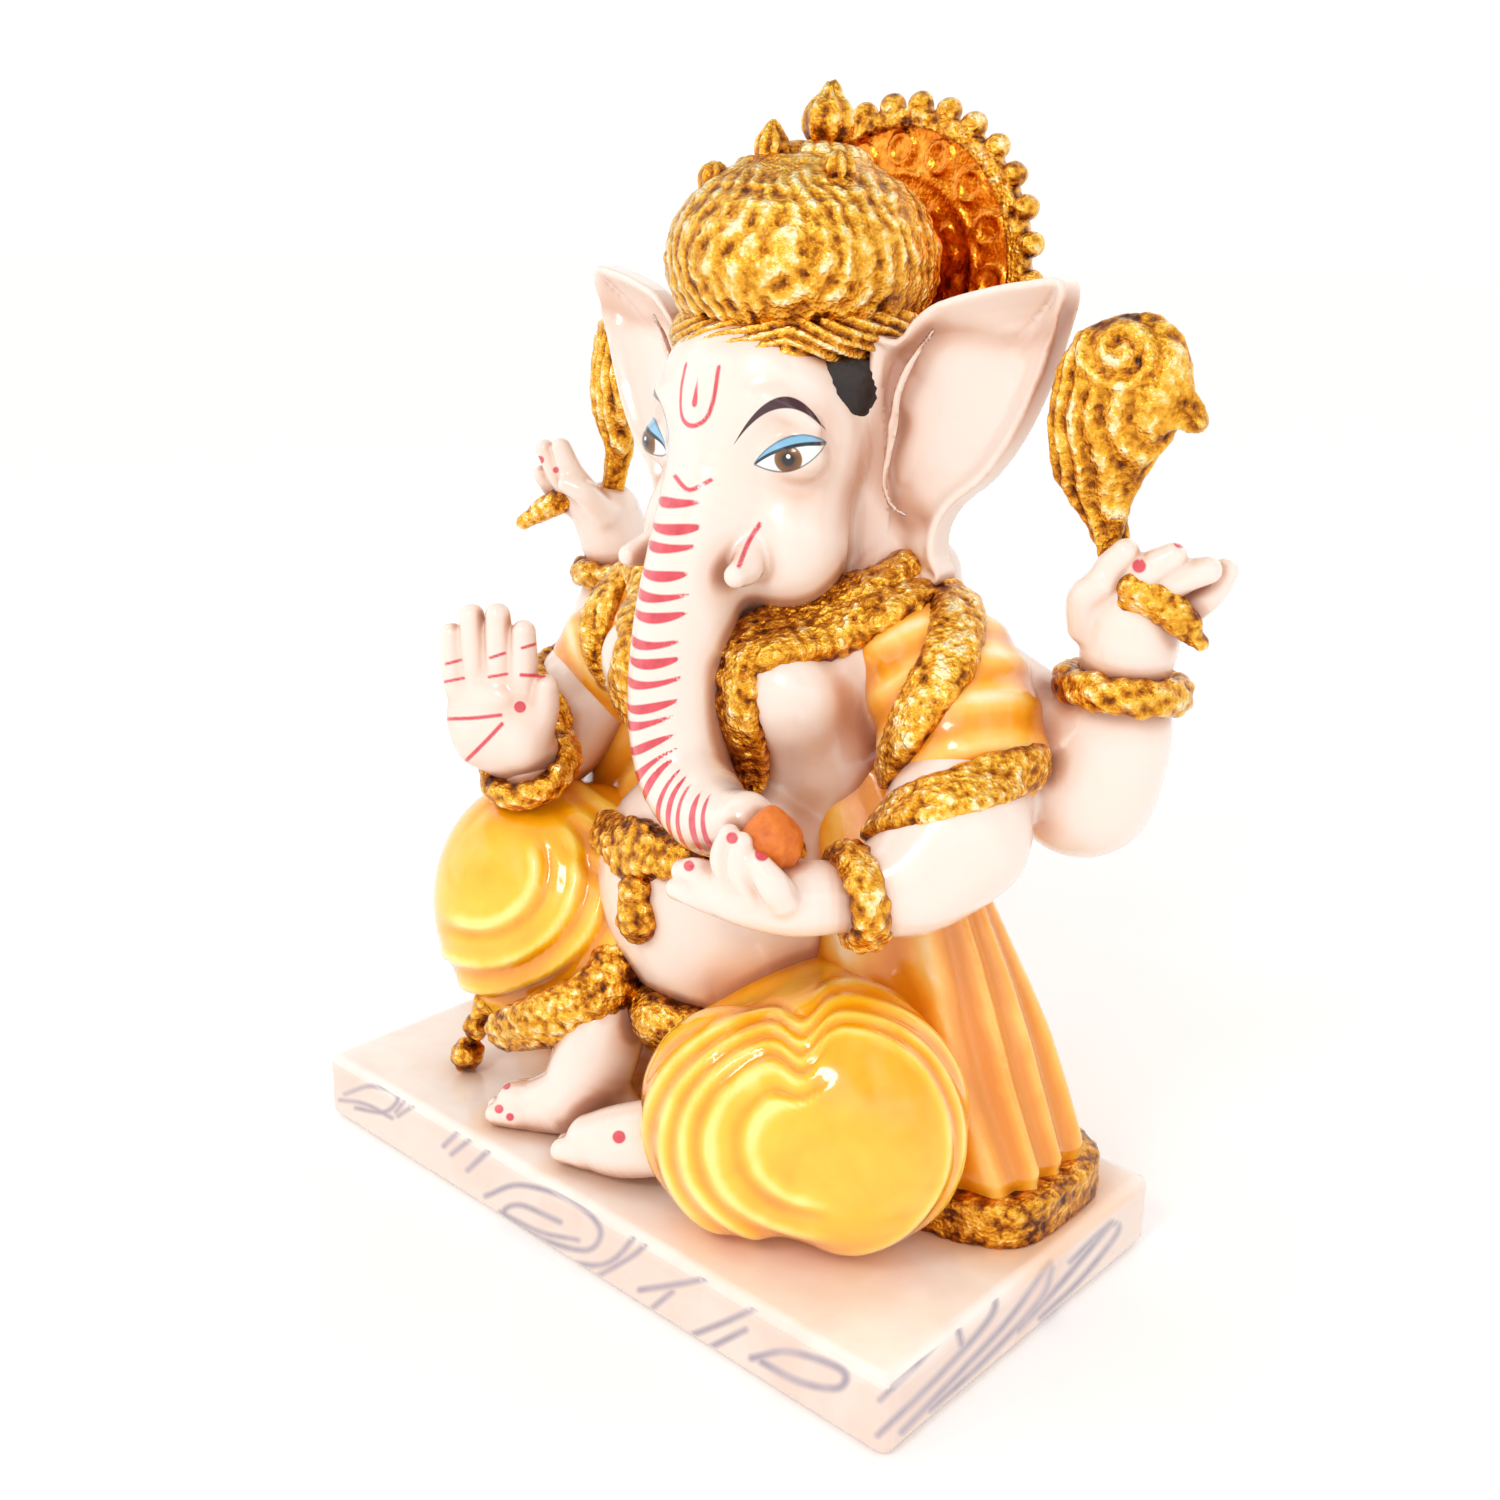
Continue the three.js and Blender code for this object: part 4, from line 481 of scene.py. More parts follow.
ROS = np.array([22.0, 1.0, 171.0])
def disp_gold(name, P, N):
    # c carries painted light and shade: each pattern below lights its raised parts and darkens its grooves
    h, c = gold_relief(P, N)
    if name == 'crown_dome':
        q = P - np.array([0, 20.5, 177]); a = np.arctan2(q[:, 1], q[:, 0]); el = np.arctan2(q[:, 2], np.hypot(q[:, 0], q[:, 1]))
        # upright strands that part over the brow, with a row of pellets near the top
        st = np.sin(a * 26 + 2.2 * np.sin(el * 5 + a * 2)) ; row = np.sin(el * 22)
        m = sstep(0.95, 0.6, el); wob = fbm(P, 11, 3, 81); st = np.sin(a * 34 + 3.4 * np.sin(el * 5 + a * 3) + 7 * wob) ; row = np.sin(el * 30 + 6 * wob + a * 3)
        h = h * 1.25 + m * (0.17 * st + 0.12 * row); c = c * 0.55 + 0.45 * (0.5 + 0.5 * st * m + 0.2 * row)
        r = np.linalg.norm(P - np.array([13.5, -1.0, 172.5]), axis=1); s = np.cos(r * 2.0); w = sstep(8.5, 5.5, r)
        w = w * sstep(6.5, 4.5, r) * 0.6; h = h * (1 - 0.4 * w) + w * (0.3 * s + 0.7 * np.exp(-(r / 1.4) ** 2)); c = c * (1 - 0.5 * w) + 0.5 * w * (0.5 + 0.5 * s)
        for sx in (-1, 1):
            b = np.abs(((a * 9 / np.pi) % 1) - 0.5) * 2; rowd = np.abs(el - 0.98) * 24 / 1.5
        h += 0.5 * sstep(1.3, 0.3, rowd) * np.sqrt(np.clip(1 - b * b, 0, 1))
    elif name == 'crown_band':
        q = P - np.array([0, 20, 166]); a = np.arctan2(q[:, 1], q[:, 0])
        s = np.sin((P[:, 2] + 0.35 * np.abs(P[:, 0] - 13) + 0.05 * P[:, 1] * 4) * 3.1 + 0.7 * np.sin(a * 9))
        h = h * 0.45 + 0.42 * s; c = 0.35 * c + 0.65 * (0.5 + 0.5 * s)
    elif name == 'crown_tier':
        q = P - np.array([1, 24, 193.5]); a = np.arctan2(q[:, 1], q[:, 0]); b = np.sqrt(np.clip(1 - (np.abs(((a * 9 / np.pi) % 1) - 0.5) * 2) ** 2, 0, 1))
        h = h * 0.6 + 0.7 * (b - 0.6); c = 0.5 * c + 0.5 * b
    elif name.startswith('crown_'):
        a = np.arctan2(P[:, 1] - P[:, 1].mean(), P[:, 0] - P[:, 0].mean()); s = np.sin(a * 7)
        h = h * 0.5 + 0.28 * s; c = 0.6 * c + 0.4 * (0.5 + 0.5 * s)
    elif name.startswith('bracelet'):
        T = N_T[name]; a = T.ang(np.asarray(P, F)); z = (P - T.c) @ T.ax
        b = np.sin(a * 11) * np.sin(z * 1.9 + a * 3); h = h * 0.75 + 0.28 * b; c = 0.6 * c + 0.4 * (0.5 + 0.5 * b)
    elif name == 'halo_field':
        h *= 0.3; c = np.clip(0.30 + 0.4 * c, 0, 1)
    elif name == 'halo_rim':
        h *= 0.55
    elif name.startswith('attribute') and 'handle' not in name:
        cen = np.array([66, 21, 158.5]) if 'left' in name else np.array([-58.5, 31, 159])
        r = np.linalg.norm(P - cen, axis=1); a = np.arctan2(P[:, 2] - cen[2], P[:, 0] - cen[0])
        Qs = plan(P); cs = (1120, 350) if 'left' in name else (612, 300); ks = VFOC / ((P - VC) @ VF)
        r = np.hypot(Qs[:, 0] - cs[0], Qs[:, 1] - cs[1]) / ks; a = np.arctan2(Qs[:, 1] - cs[1], Qs[:, 0] - cs[0])
        s = np.sin(r * 1.7 - a); up = sstep(147, 153, P[:, 2])
        v = np.sin((P[:, 0] * 0.8 - P[:, 1] * 0.6) * 2.6 + 0.9 * np.sin(P[:, 2] * 0.5))
        up = up * sstep(8.5, 5.5, r); h = h * 0.8 + 0.42 * (up * s + (1 - up) * v); c = 0.6 * c + 0.4 * (0.5 + 0.5 * (up * s + (1 - up) * v))
    elif name.startswith('necklace') or name == 'collar':
        sws = {'collar': COLS, 'necklace_drop_left': [N['necklace_drop_left'] if False else DR_L], 'necklace_drop_right': [DR_R]}[name]
        best = None
        for sw in sws:
            d, L, t = along(sw, P)
            if best is None: best, LL = d, L
            else: LL = np.where(d < best, L, LL); best = np.minimum(best, d)
        s = np.sin(LL * 2 * np.pi / 2.6 + 1.5 * fbm(P, 6, 2, 91)); h = h * 1.1 + 0.12 * s; c = 0.85 * c + 0.15 * (0.5 + 0.5 * s)
    elif name == 'waist_pendant' or name == 'tassel' or name == 'waist_chain':
        w = 1 - np.clip(worley(P, 2.3, 5) / 0.75, 0, 1); h = h * 0.4 + 0.75 * (w - 0.35); c = 0.3 * c + 0.7 * w
    elif name in ('ankle_hem_right', 'cloak_hem'):
        s = np.sin(P[:, 2] * 2.4 + 0.8 * np.sin(P[:, 0] * 0.7)); h = h * 0.9 + 0.14 * s
    return h, np.clip(c, 0, 1)

COLS = [Sw(COL, n=4), Sw(mir(COL), n=4), Sw(COL2, n=4), Sw(mir(COL2), n=4), Sw([[9.5, -6, 111.5, 3.4], [0, -8.5, 107.5, 3.4], [-9.5, -6, 111.5, 3.4]], n=4)]
DR_L, DR_R = Sw(DROP, n=4), Sw(mir(DROP), n=4)
N_T = {k: N[k] for k in N if k.startswith('bracelet')}

# ------------------------------------------------------------------ folds
def fold_profile(u, at, wid=1.0):
    """a rolled fold: a ridge with a groove just outside it"""
    r = np.exp(-((u - at) / (0.85 * wid)) ** 2); g = np.exp(-((u - at - 1.75 * wid) / (0.8 * wid)) ** 2)
    return r, g

def folds(name, P, N):
    """(height, tone): tone runs from 0 in a groove to 1 on a ridge, and colours the cloth as painted shade in grooves
    and painted highlight on ridges
    """
    h = np.zeros(len(P)); rd = np.zeros(len(P)); gr = np.zeros(len(P)); Q = plan(P); k = VFOC / ((P - VC) @ VF)
    if name == 'leg_left':
        x = (Q[:, 0] - 834) / k; y = -(Q[:, 1] - 1145) / k
        phi = np.sqrt((x / np.where(x < 0, 1.35, 1.0)) ** 2 + y ** 2) + 4.5 * np.exp(-((x + 5) / 3.4) ** 2) * sstep(3, 10, y)
        phi = phi + 0.5 * fbm(P, 14, 2, 21); left = sstep(1, -6, x)
        for at, w, side in [(9.8, 1.2, left), (15.2, 1.1, left), (18.6, 0.9, 1), (21.4, 0.9, 1), (24.4, 1.0, 1), (28.4, 1.2, sstep(-8, 4, x) * sstep(0, 8, y)), (33, 1.3, sstep(-4, 6, x) * sstep(0, 8, y)), (38, 1.3, sstep(0, 8, x) * sstep(4, 12, y))]:
            a, b = fold_profile(phi, at, w); rd += a * side; gr += b * side
    elif name == 'leg_right':
        x = (Q[:, 0] - 477) / k; y = -(Q[:, 1] - 867) / k
        r = np.hypot(x, y) + 0.5 * fbm(P, 12, 2, 22); a = np.arctan2(y, x); m = sstep(-2.35, -1.7, a) * sstep(0.6, 0.05, a)
        for at, w in [(11.2, 1.3), (19, 1.3), (24.6, 1.2), (30, 1.2)]:
            c, d = fold_profile(r, at, w); rd += c * m; gr += d * m
        m2 = sstep(12, 24, x) * sstep(-8, 4, y); s = np.sin((y * 1.1 + x * 0.9) * 0.9)
        rd += 0.6 * m2 * np.clip(s, 0, 1); gr += 0.6 * m2 * np.clip(-s, 0, 1)
    elif name == 'seat_dhoti':
        s = np.sin((P[:, 2] * 1.2 + 0.6 * np.abs(P[:, 0]))); rd += 0.5 * np.clip(s, 0, 1); gr += 0.5 * np.clip(-s, 0, 1)
    elif name == 'cloak':
        a = np.arctan2((P[:, 1] - CY0) / CRY, P[:, 0] / CRX)
        s = np.sin(a * 19 + 1.3 * np.sin(P[:, 2] * 0.06 + a * 2) + 0.8 * fbm(P, 22, 2, 31)); low = sstep(90, 40, P[:, 2])
        rd += np.clip(s, 0, 1) ** 1.6 * (0.4 + 0.8 * low); gr += np.clip(-s, 0, 1) ** 1.2 * (0.4 + 0.8 * low)
    elif name.startswith('shawl'):
        sx = 1 if P[:, 0].mean() > 0 else -1
        c = np.array([sx * 34, 14, 122]); q = P - c
        s = np.sin((q[:, 2] * 0.62 + sx * q[:, 0] * -0.45 + 0.25 * q[:, 1]) * 0.95 + 0.6 * fbm(P, 12, 2, 41))
        rd += np.clip(s, 0, 1) ** 1.5 * 0.8; gr += np.clip(-s, 0, 1) * 0.8
    amp = {'cloak': 0.85, 'leg_left': 0.34, 'leg_right': 0.7}.get(name, 0.4)
    return amp * (rd - 0.9 * gr), np.clip(0.5 + 0.5 * rd - 0.5 * gr, 0, 1)

# ------------------------------------------------------------------ painted marks on the skin
_TL = np.concatenate([[0], np.cumsum(np.linalg.norm(np.diff(TRUNK.C, axis=0), axis=1))])
_TT = np.gradient(TRUNK.C, axis=0); _TT /= np.linalg.norm(_TT, axis=1, keepdims=True)
_f = catmull(np.array([[0, 8, 152, 12], [0, 1, 141, 10.4], [0, -5, 129, 9.2], [0, -9, 115, 9.2], [1, -11.5, 101, 9.2], [5, -14, 90.5, 8.6], [13, -17, 86, 7.6], [21, -20.5, 86.4, 6.2], [27.5, -22.6, 88.6, 5.2]], float), 120)
_DC, _DR = _f[:, :3], _f[:, 3]; _DL = np.concatenate([[0], np.cumsum(np.linalg.norm(np.diff(_DC, axis=0), axis=1))])
_ker = np.hanning(181); _ker /= _ker.sum()
_DT = np.gradient(_DC, axis=0); _DT = np.stack([np.convolve(np.pad(_DT[:, i], 90, mode='edge'), _ker, 'valid') for i in range(3)], 1); _DT /= np.linalg.norm(_DT, axis=1, keepdims=True)
_DK = np.gradient(_DT, _DL, axis=0)
def trunk_strokes(P):
    d, L, t = along(TRUNK, P); near_ = np.nonzero(d < 2.5)[0]; sd_ = np.full(len(P), 9.0)
    if not len(near_): return sd_
    P = P[near_]; L = L[near_]; d = d[near_]
    at = lambda A, s: np.stack([np.interp(s, _DL, A[:, i]) for i in range(3)], 1)
    for _ in range(4):
        C = at(_DC, L); T = at(_DT, L); K = at(_DK, L); q = P - C
        L = np.clip(L + 0.7 * (q * T).sum(1) / np.clip(1 - (q * K).sum(1), 0.35, 3), 0, _DL[-1])
    C = at(_DC, L); T = at(_DT, L); R = np.interp(L, _DL, _DR)
    q = P - C; f = np.array([-0.05, -1.0, 0.0]) - T * (T @ np.array([-0.05, -1.0, 0.0]))[:, None]; f /= np.linalg.norm(f, axis=1, keepdims=True)
    s = np.cross(T, f); ang = np.arctan2((q * s).sum(1), (q * f).sum(1)); arc = ang * R
    L0 = np.interp(-133.0, -_DC[:400, 2], _DL[:400]); L2 = _DL[-1] - 3.0; pitch = 3.72
    x = (L + 0.030 * (arc - 0.6) ** 2 - L0) / pitch; k = np.round(x); jit = 0.12 * np.sin(k * 2.3)
    half = 5.4 + 1.8 * np.minimum(np.maximum(k, 0) / 5, 1) + 0.5 * np.sin(k * 1.7)
    e = np.clip(1 - (np.abs(arc + 0.5 * np.sin(k)) / half) ** 2, 0, 1)
    wid = 0.70 * np.sqrt(e) * (1 + 0.25 * np.sin(k * 3.1 + arc * 0.3))
    sd = np.abs(x - k - jit) * pitch - wid; sd = np.where(np.abs(arc) > half, np.maximum(sd, np.abs(arc) - half), sd)
    ok = (k >= 0) & (L0 + k * pitch < L2)
    sd_[near_] = np.where(ok & (d < 1.8), sd - 0.13, 9.0)
    return sd_

def tilak(P):
    Q = np.stack([P[:, 0] + 0.6, P[:, 2]], 1)
    a = seg_d(Q, [(-4.0, 159.8), (-4.1, 155), (-3.0, 151.2), (0, 149.8), (3.0, 151.2), (4.1, 155), (4.0, 159.8)]) - 0.42
    b = seg_d(Q, [(0, 157.8), (0, 153.6)]) - 0.55 * np.clip((158.6 - P[:, 2]) / 4, 0.3, 1.3)
    return np.where((P[:, 1] < 5) & (P[:, 2] > 147), np.minimum(a, b), 9.0)

PALM = [([(447, 719), (474, 718), (501, 715)], .36), ([(502, 724), (486, 741), (466, 761)], .4), ([(520, 707)], 1.15),
        ([(446, 664), (461, 660)], .3), ([(490, 658), (505, 653)], .3), ([(522, 648), (536, 644)], .3),
        ([(444, 682), (464, 678)], .3), ([(489, 677), (507, 674)], .3), ([(521, 675), (544, 676)], .36)]
NAILS = {
 'hand_left_front': [((745, 826), .8), ((762, 854), 1.15), ((732, 838), .95), ((689, 866), .9)],
 'hand_left_back': [((1107, 521), 1.1), ((1121, 495), 1.1), ((1180, 541), 1.1), ((1139, 566), 1.1)],
 'hand_right_back': [((582, 441), .9), ((592, 456), .8), ((540, 460), .9), ((556, 470), .7)],
 'foot_right': [((515, 1074), .95), ((506, 1085), .9), ((499, 1109), .9), ((510, 1117), .8)],
 'foot_left': [((619, 1137), 1.2)]}

EARL = [(1068, 313), (1047, 329), (1021, 342), (1000, 343), (968, 336), (937, 337), (916, 347), (895, 368), (888, 405), (899, 424), (887, 445), (879, 463), (879, 484), (888, 510), (905, 535)]
# the ear's fold line, used for a sculpted groove and a band of painted shade along it, not a paint mark
def ear_line(P, N):
    q = P.copy(); q[:, 0] = np.abs(q[:, 0]); Nq = N.copy(); Nq[:, 0] *= np.sign(P[:, 0] + 1e-9)
    m = (q[:, 0] > 23) & (q[:, 2] > 124) & (Nq[:, 1] < 0.1); sd = np.full(len(P), 9.0)
    ix = np.nonzero(m)[0]; k = VFOC / ((q[ix] - VC) @ VF); sd[ix] = seg_d(plan(q[ix]), EARL) / k
    return sd

def paint(label, P, N):
    sd = np.full(len(P), 9.0)
    if label == 'headgroup':
        sd = np.minimum(trunk_strokes(P), tilak(P))
        sd = np.minimum(sd, marks(P, N, [([(675, 476), (683, 486), (690, 490), (700, 486), (711, 480)], .38), ([(760, 524), (749, 541), (739, 566)], .42)]))
    elif label == 'hand_right_front': sd = marks(P, N, PALM)
    elif label in NAILS: sd = marks(P, N, [([c], r) for c, r in NAILS[label]])
    return ramp(sd)

# ------------------------------------------------------------------ meshes
INFO = []
_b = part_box('base_slab'); SCALE = round((_b[1][0] - _b[0][0]) / 0.150, 4)
ORIGIN = np.round([(_b[0][0] + _b[1][0]) / 2, (_b[0][1] + _b[1][1]) / 2, _b[0][2]], 5)
def add_mesh(name, V, Q, Nn, attrs, mat, node=None):
    me = bpy.data.meshes.new(name); nv, nq = len(V), len(Q)
    me.vertices.add(nv); me.vertices.foreach_set('co', (V * 0.001 * SCALE + ORIGIN).astype(np.float32).ravel())
    me.loops.add(nq * 4); me.loops.foreach_set('vertex_index', Q.astype(np.int32).ravel())
    me.polygons.add(nq); me.polygons.foreach_set('loop_start', np.arange(0, nq * 4, 4, dtype=np.int32))
    me.update(calc_edges=True); me.validate()
    me.polygons.foreach_set('use_smooth', np.ones(len(me.polygons), bool))
    for k, a in attrs.items():
        at = me.attributes.new(k, 'FLOAT', 'POINT'); at.data.foreach_set('value', np.asarray(a, np.float32))
    if Nn is not None and len(me.vertices) == nv:
        me.normals_split_custom_set_from_vertices(Nn.astype(np.float32).tolist())
    me.materials.append(mat)
    ob = bpy.data.objects.new('v_' + name, me); bpy.context.scene.collection.objects.link(ob)
    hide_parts(node or name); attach(ob, 'root')
    INFO.append((name, nq)); return ob

def crease(P, N, big=True):
    """0 in the open, towards 1 where surfaces meet; used for painted shade in creases and between parts"""
    P = np.asarray(P, F); N = np.asarray(N, F)
    a = np.clip(1 - chunk(ALL, P + N * 2.4) / 2.4, 0, 1); r = a * 0.6
    if big: r = r + 0.6 * np.clip(1 - chunk(ALL, P + N * 7) / 7, 0, 1) ** 1.3
    return np.clip(r, 0, 1)

def group(names, ks, h, mat, label=None):
    def f(p):
        d = np.full(len(p), FAR, F)
        for n, k in zip(names, ks):
            g = N[n]; ix = np.nonzero(((p > g.lo - 8) & (p < g.hi + 8)).all(1))[0]
            if len(ix): d[ix] = smin(d[ix], g(p[ix]), k)
        return d
    lo = np.min([N[n].lo for n in names], 0); hi = np.max([N[n].hi for n in names], 0)
    V, Q = polygonise(f, lo, hi, h * RES); Nn = vnormals(V, Q)
    # the second attribute is painted shade where surfaces meet
    at = {'paint': paint(label, V, Nn), 'crease_shade': crease(V, Nn)}
    if label == 'headgroup':
        # the ear fold gets a groove and painted shade laid along it
        el = ear_line(V, Nn); g = np.exp(-(el / 1.7) ** 2); V = V - Nn * (0.6 * g * sstep(0, 1, 1 - Nn[:, 1]))[:, None]; Nn = vnormals(V, Q); at['crease_shade'] = np.clip(at['crease_shade'] + 0.42 * np.exp(-(el / 2.2) ** 2), 0, 1)
    C = V[Q].mean(1); best = np.full(len(C), 1e9); lab = np.zeros(len(C), int)
    for i, n in enumerate(names):
        g = N[n]; d = np.full(len(C), 60.0); ix = np.nonzero(((C > g.lo - 9) & (C < g.hi + 9)).all(1))[0]
        if len(ix): d[ix] = chunk(g, C[ix])
        m = d < best; best[m] = d[m]; lab[m] = i
    for i, n in enumerate(names):
        q = Q[lab == i]
        if not len(q): continue
        u, inv = np.unique(q, return_inverse=True)
        add_mesh(n, V[u], inv.reshape(q.shape), Nn[u], {k: a[u] for k, a in at.items()}, mat)

def skin_piece(n, h, mat, big=True):
    V, Q = polygonise(N[n], N[n].lo, N[n].hi, h * RES); Nn = vnormals(V, Q)
    # the second attribute is painted shade where surfaces meet
    add_mesh(n, V, Q, Nn, {'paint': paint(n, V, Nn), 'crease_shade': crease(V, Nn, big)}, mat)

def gold_piece(n, h, mat):
    V, Q = polygonise(N[n], N[n].lo, N[n].hi, h * RES); Nn = vnormals(V, Q)
    d, c = disp_gold(n, V, Nn)
    V2 = V + Nn * d[:, None]; N2 = vnormals(V2, Q)
    # the first attribute is the relief tone used as painted light and shade, the second painted shade where parts meet
    add_mesh(n, V2, Q, N2, {'relief_light_shade': c, 'occ': crease(V, Nn)}, mat)

def cloth_piece(n, h, mat):
    V, Q = polygonise(N[n], N[n].lo, N[n].hi, h * RES); Nn = vnormals(V, Q)
    d, t = folds(n, V, Nn)
    if n == 'cloak': d = (d * sstep(112, 96, V[:, 2]) - 1.3 * sstep(SLAB_H + HEM_H + 2.5, SLAB_H + HEM_H, V[:, 2])) * (V[:, 2] > SLAB_H + 0.6)
    V2 = V + Nn * d[:, None]; N2 = vnormals(V2, Q)
    add_mesh(n, V2, Q, N2, {'fold': t, 'occ': crease(V, Nn)}, mat)

# ------------------------------------------------------------------ node helpers
class Mat:
    def __init__(s, name):
        s.m = bpy.data.materials.new(name); s.m.use_nodes = True; s.t = s.m.node_tree; s.N = s.t.nodes; s.L = s.t.links
        s.b = s.N['Principled BSDF']; s.tc = s.N.new('ShaderNodeTexCoord')
    def obj(s): return s.tc.outputs['Object']
    def set(s, **kw):
        for k, v in kw.items():
            k = k.replace('_', ' ').replace('IOR Level', 'IOR Level')
            if isinstance(v, bpy.types.NodeSocket): s.L.new(v, s.b.inputs[k])
            else: s.b.inputs[k].default_value = v
    def attr(s, n):
        a = s.N.new('ShaderNodeAttribute'); a.attribute_name = n; return X(s, a.outputs['Fac'])
    def noise(s, scale, detail=3, rough=.5, dist=0):
        n = s.N.new('ShaderNodeTexNoise'); n.inputs['Scale'].default_value = scale; n.inputs['Detail'].default_value = detail; n.inputs['Roughness'].default_value = rough; n.inputs['Distortion'].default_value = dist
        s.L.new(s.obj(), n.inputs['Vector']); return X(s, n.outputs['Fac'])
    def voro(s, scale, feature='F1'):
        n = s.N.new('ShaderNodeTexVoronoi'); n.feature = feature; n.inputs['Scale'].default_value = scale; s.L.new(s.obj(), n.inputs['Vector']); return X(s, n.outputs['Distance'])
    def mix(s, fac, a, b, mode='MIX'):
        n = s.N.new('ShaderNodeMix'); n.data_type = 'RGBA'; n.blend_type = mode
        for i, v in ((0, fac), (6, a), (7, b)):
            v = v.o if isinstance(v, X) else v
            if isinstance(v, bpy.types.NodeSocket): s.L.new(v, n.inputs[i])
            elif i == 0: n.inputs[i].default_value = v
            else: n.inputs[i].default_value = (*v, 1)
        return n.outputs[2]
    def ramp(s, fac, stops):
        n = s.N.new('ShaderNodeValToRGB'); r = n.color_ramp
        while len(r.elements) < len(stops): r.elements.new(0.5)
        for e, (p, c) in zip(r.elements, stops): e.position = p; e.color = (*c, 1)
        s.L.new(fac.o if isinstance(fac, X) else fac, n.inputs['Fac']); return n.outputs['Color']
    def bump(s, height, strength, dist, normal=None):
        n = s.N.new('ShaderNodeBump'); n.inputs['Strength'].default_value = strength; n.inputs['Distance'].default_value = dist
        s.L.new(height.o, n.inputs['Height']); 
        if normal: s.L.new(normal, n.inputs['Normal'])
        return n.outputs['Normal']
    def xyz(s):
        n = s.N.new('ShaderNodeSeparateXYZ'); s.L.new(s.obj(), n.inputs[0]); return [X(s, n.outputs[i]) for i in range(3)]

class X:
    """a shader value that can be added, multiplied and so on"""
    def __init__(s, m, o): s.m = m; s.o = o
    def op(s, op, b=None, c=None, clamp=False):
        n = s.m.N.new('ShaderNodeMath'); n.operation = op; n.use_clamp = clamp; s.m.L.new(s.o, n.inputs[0])
        for i, v in ((1, b), (2, c)):
            if v is None: continue
            if isinstance(v, X): s.m.L.new(v.o, n.inputs[i])
            else: n.inputs[i].default_value = float(v)
        return X(s.m, n.outputs[0])
    def __add__(s, b): return s.op('ADD', b)
    __radd__ = __add__
    def __sub__(s, b): return s.op('SUBTRACT', b)
    def __rsub__(s, b): return s.op('MULTIPLY', -1) + b
    def __mul__(s, b): return s.op('MULTIPLY', b)
    __rmul__ = __mul__
    def __truediv__(s, b): return s.op('DIVIDE', b)
    def __neg__(s): return s.op('MULTIPLY', -1)
    def abs(s): return s.op('ABSOLUTE')
    def pow(s, b): return s.op('POWER', b)
    def min(s, b): return s.op('MINIMUM', b)
    def max(s, b): return s.op('MAXIMUM', b)
    def sqrt(s): return s.op('MAXIMUM', 0).op('SQRT')
    def sin(s): return s.op('SINE')
    def clamp(s): return s.op('ADD', 0, clamp=True)
    def below(s, edge, soft):
        """1 where the value is under edge, fading over soft"""
        return ((s - edge) * (-0.5 / soft) + 0.5).clamp()

def hexc(h):
    c = [int(h[i:i + 2], 16) / 255 for i in (0, 2, 4)]
    return tuple(x / 12.92 if x <= 0.04045 else ((x + 0.055) / 1.055) ** 2.4 for x in c)

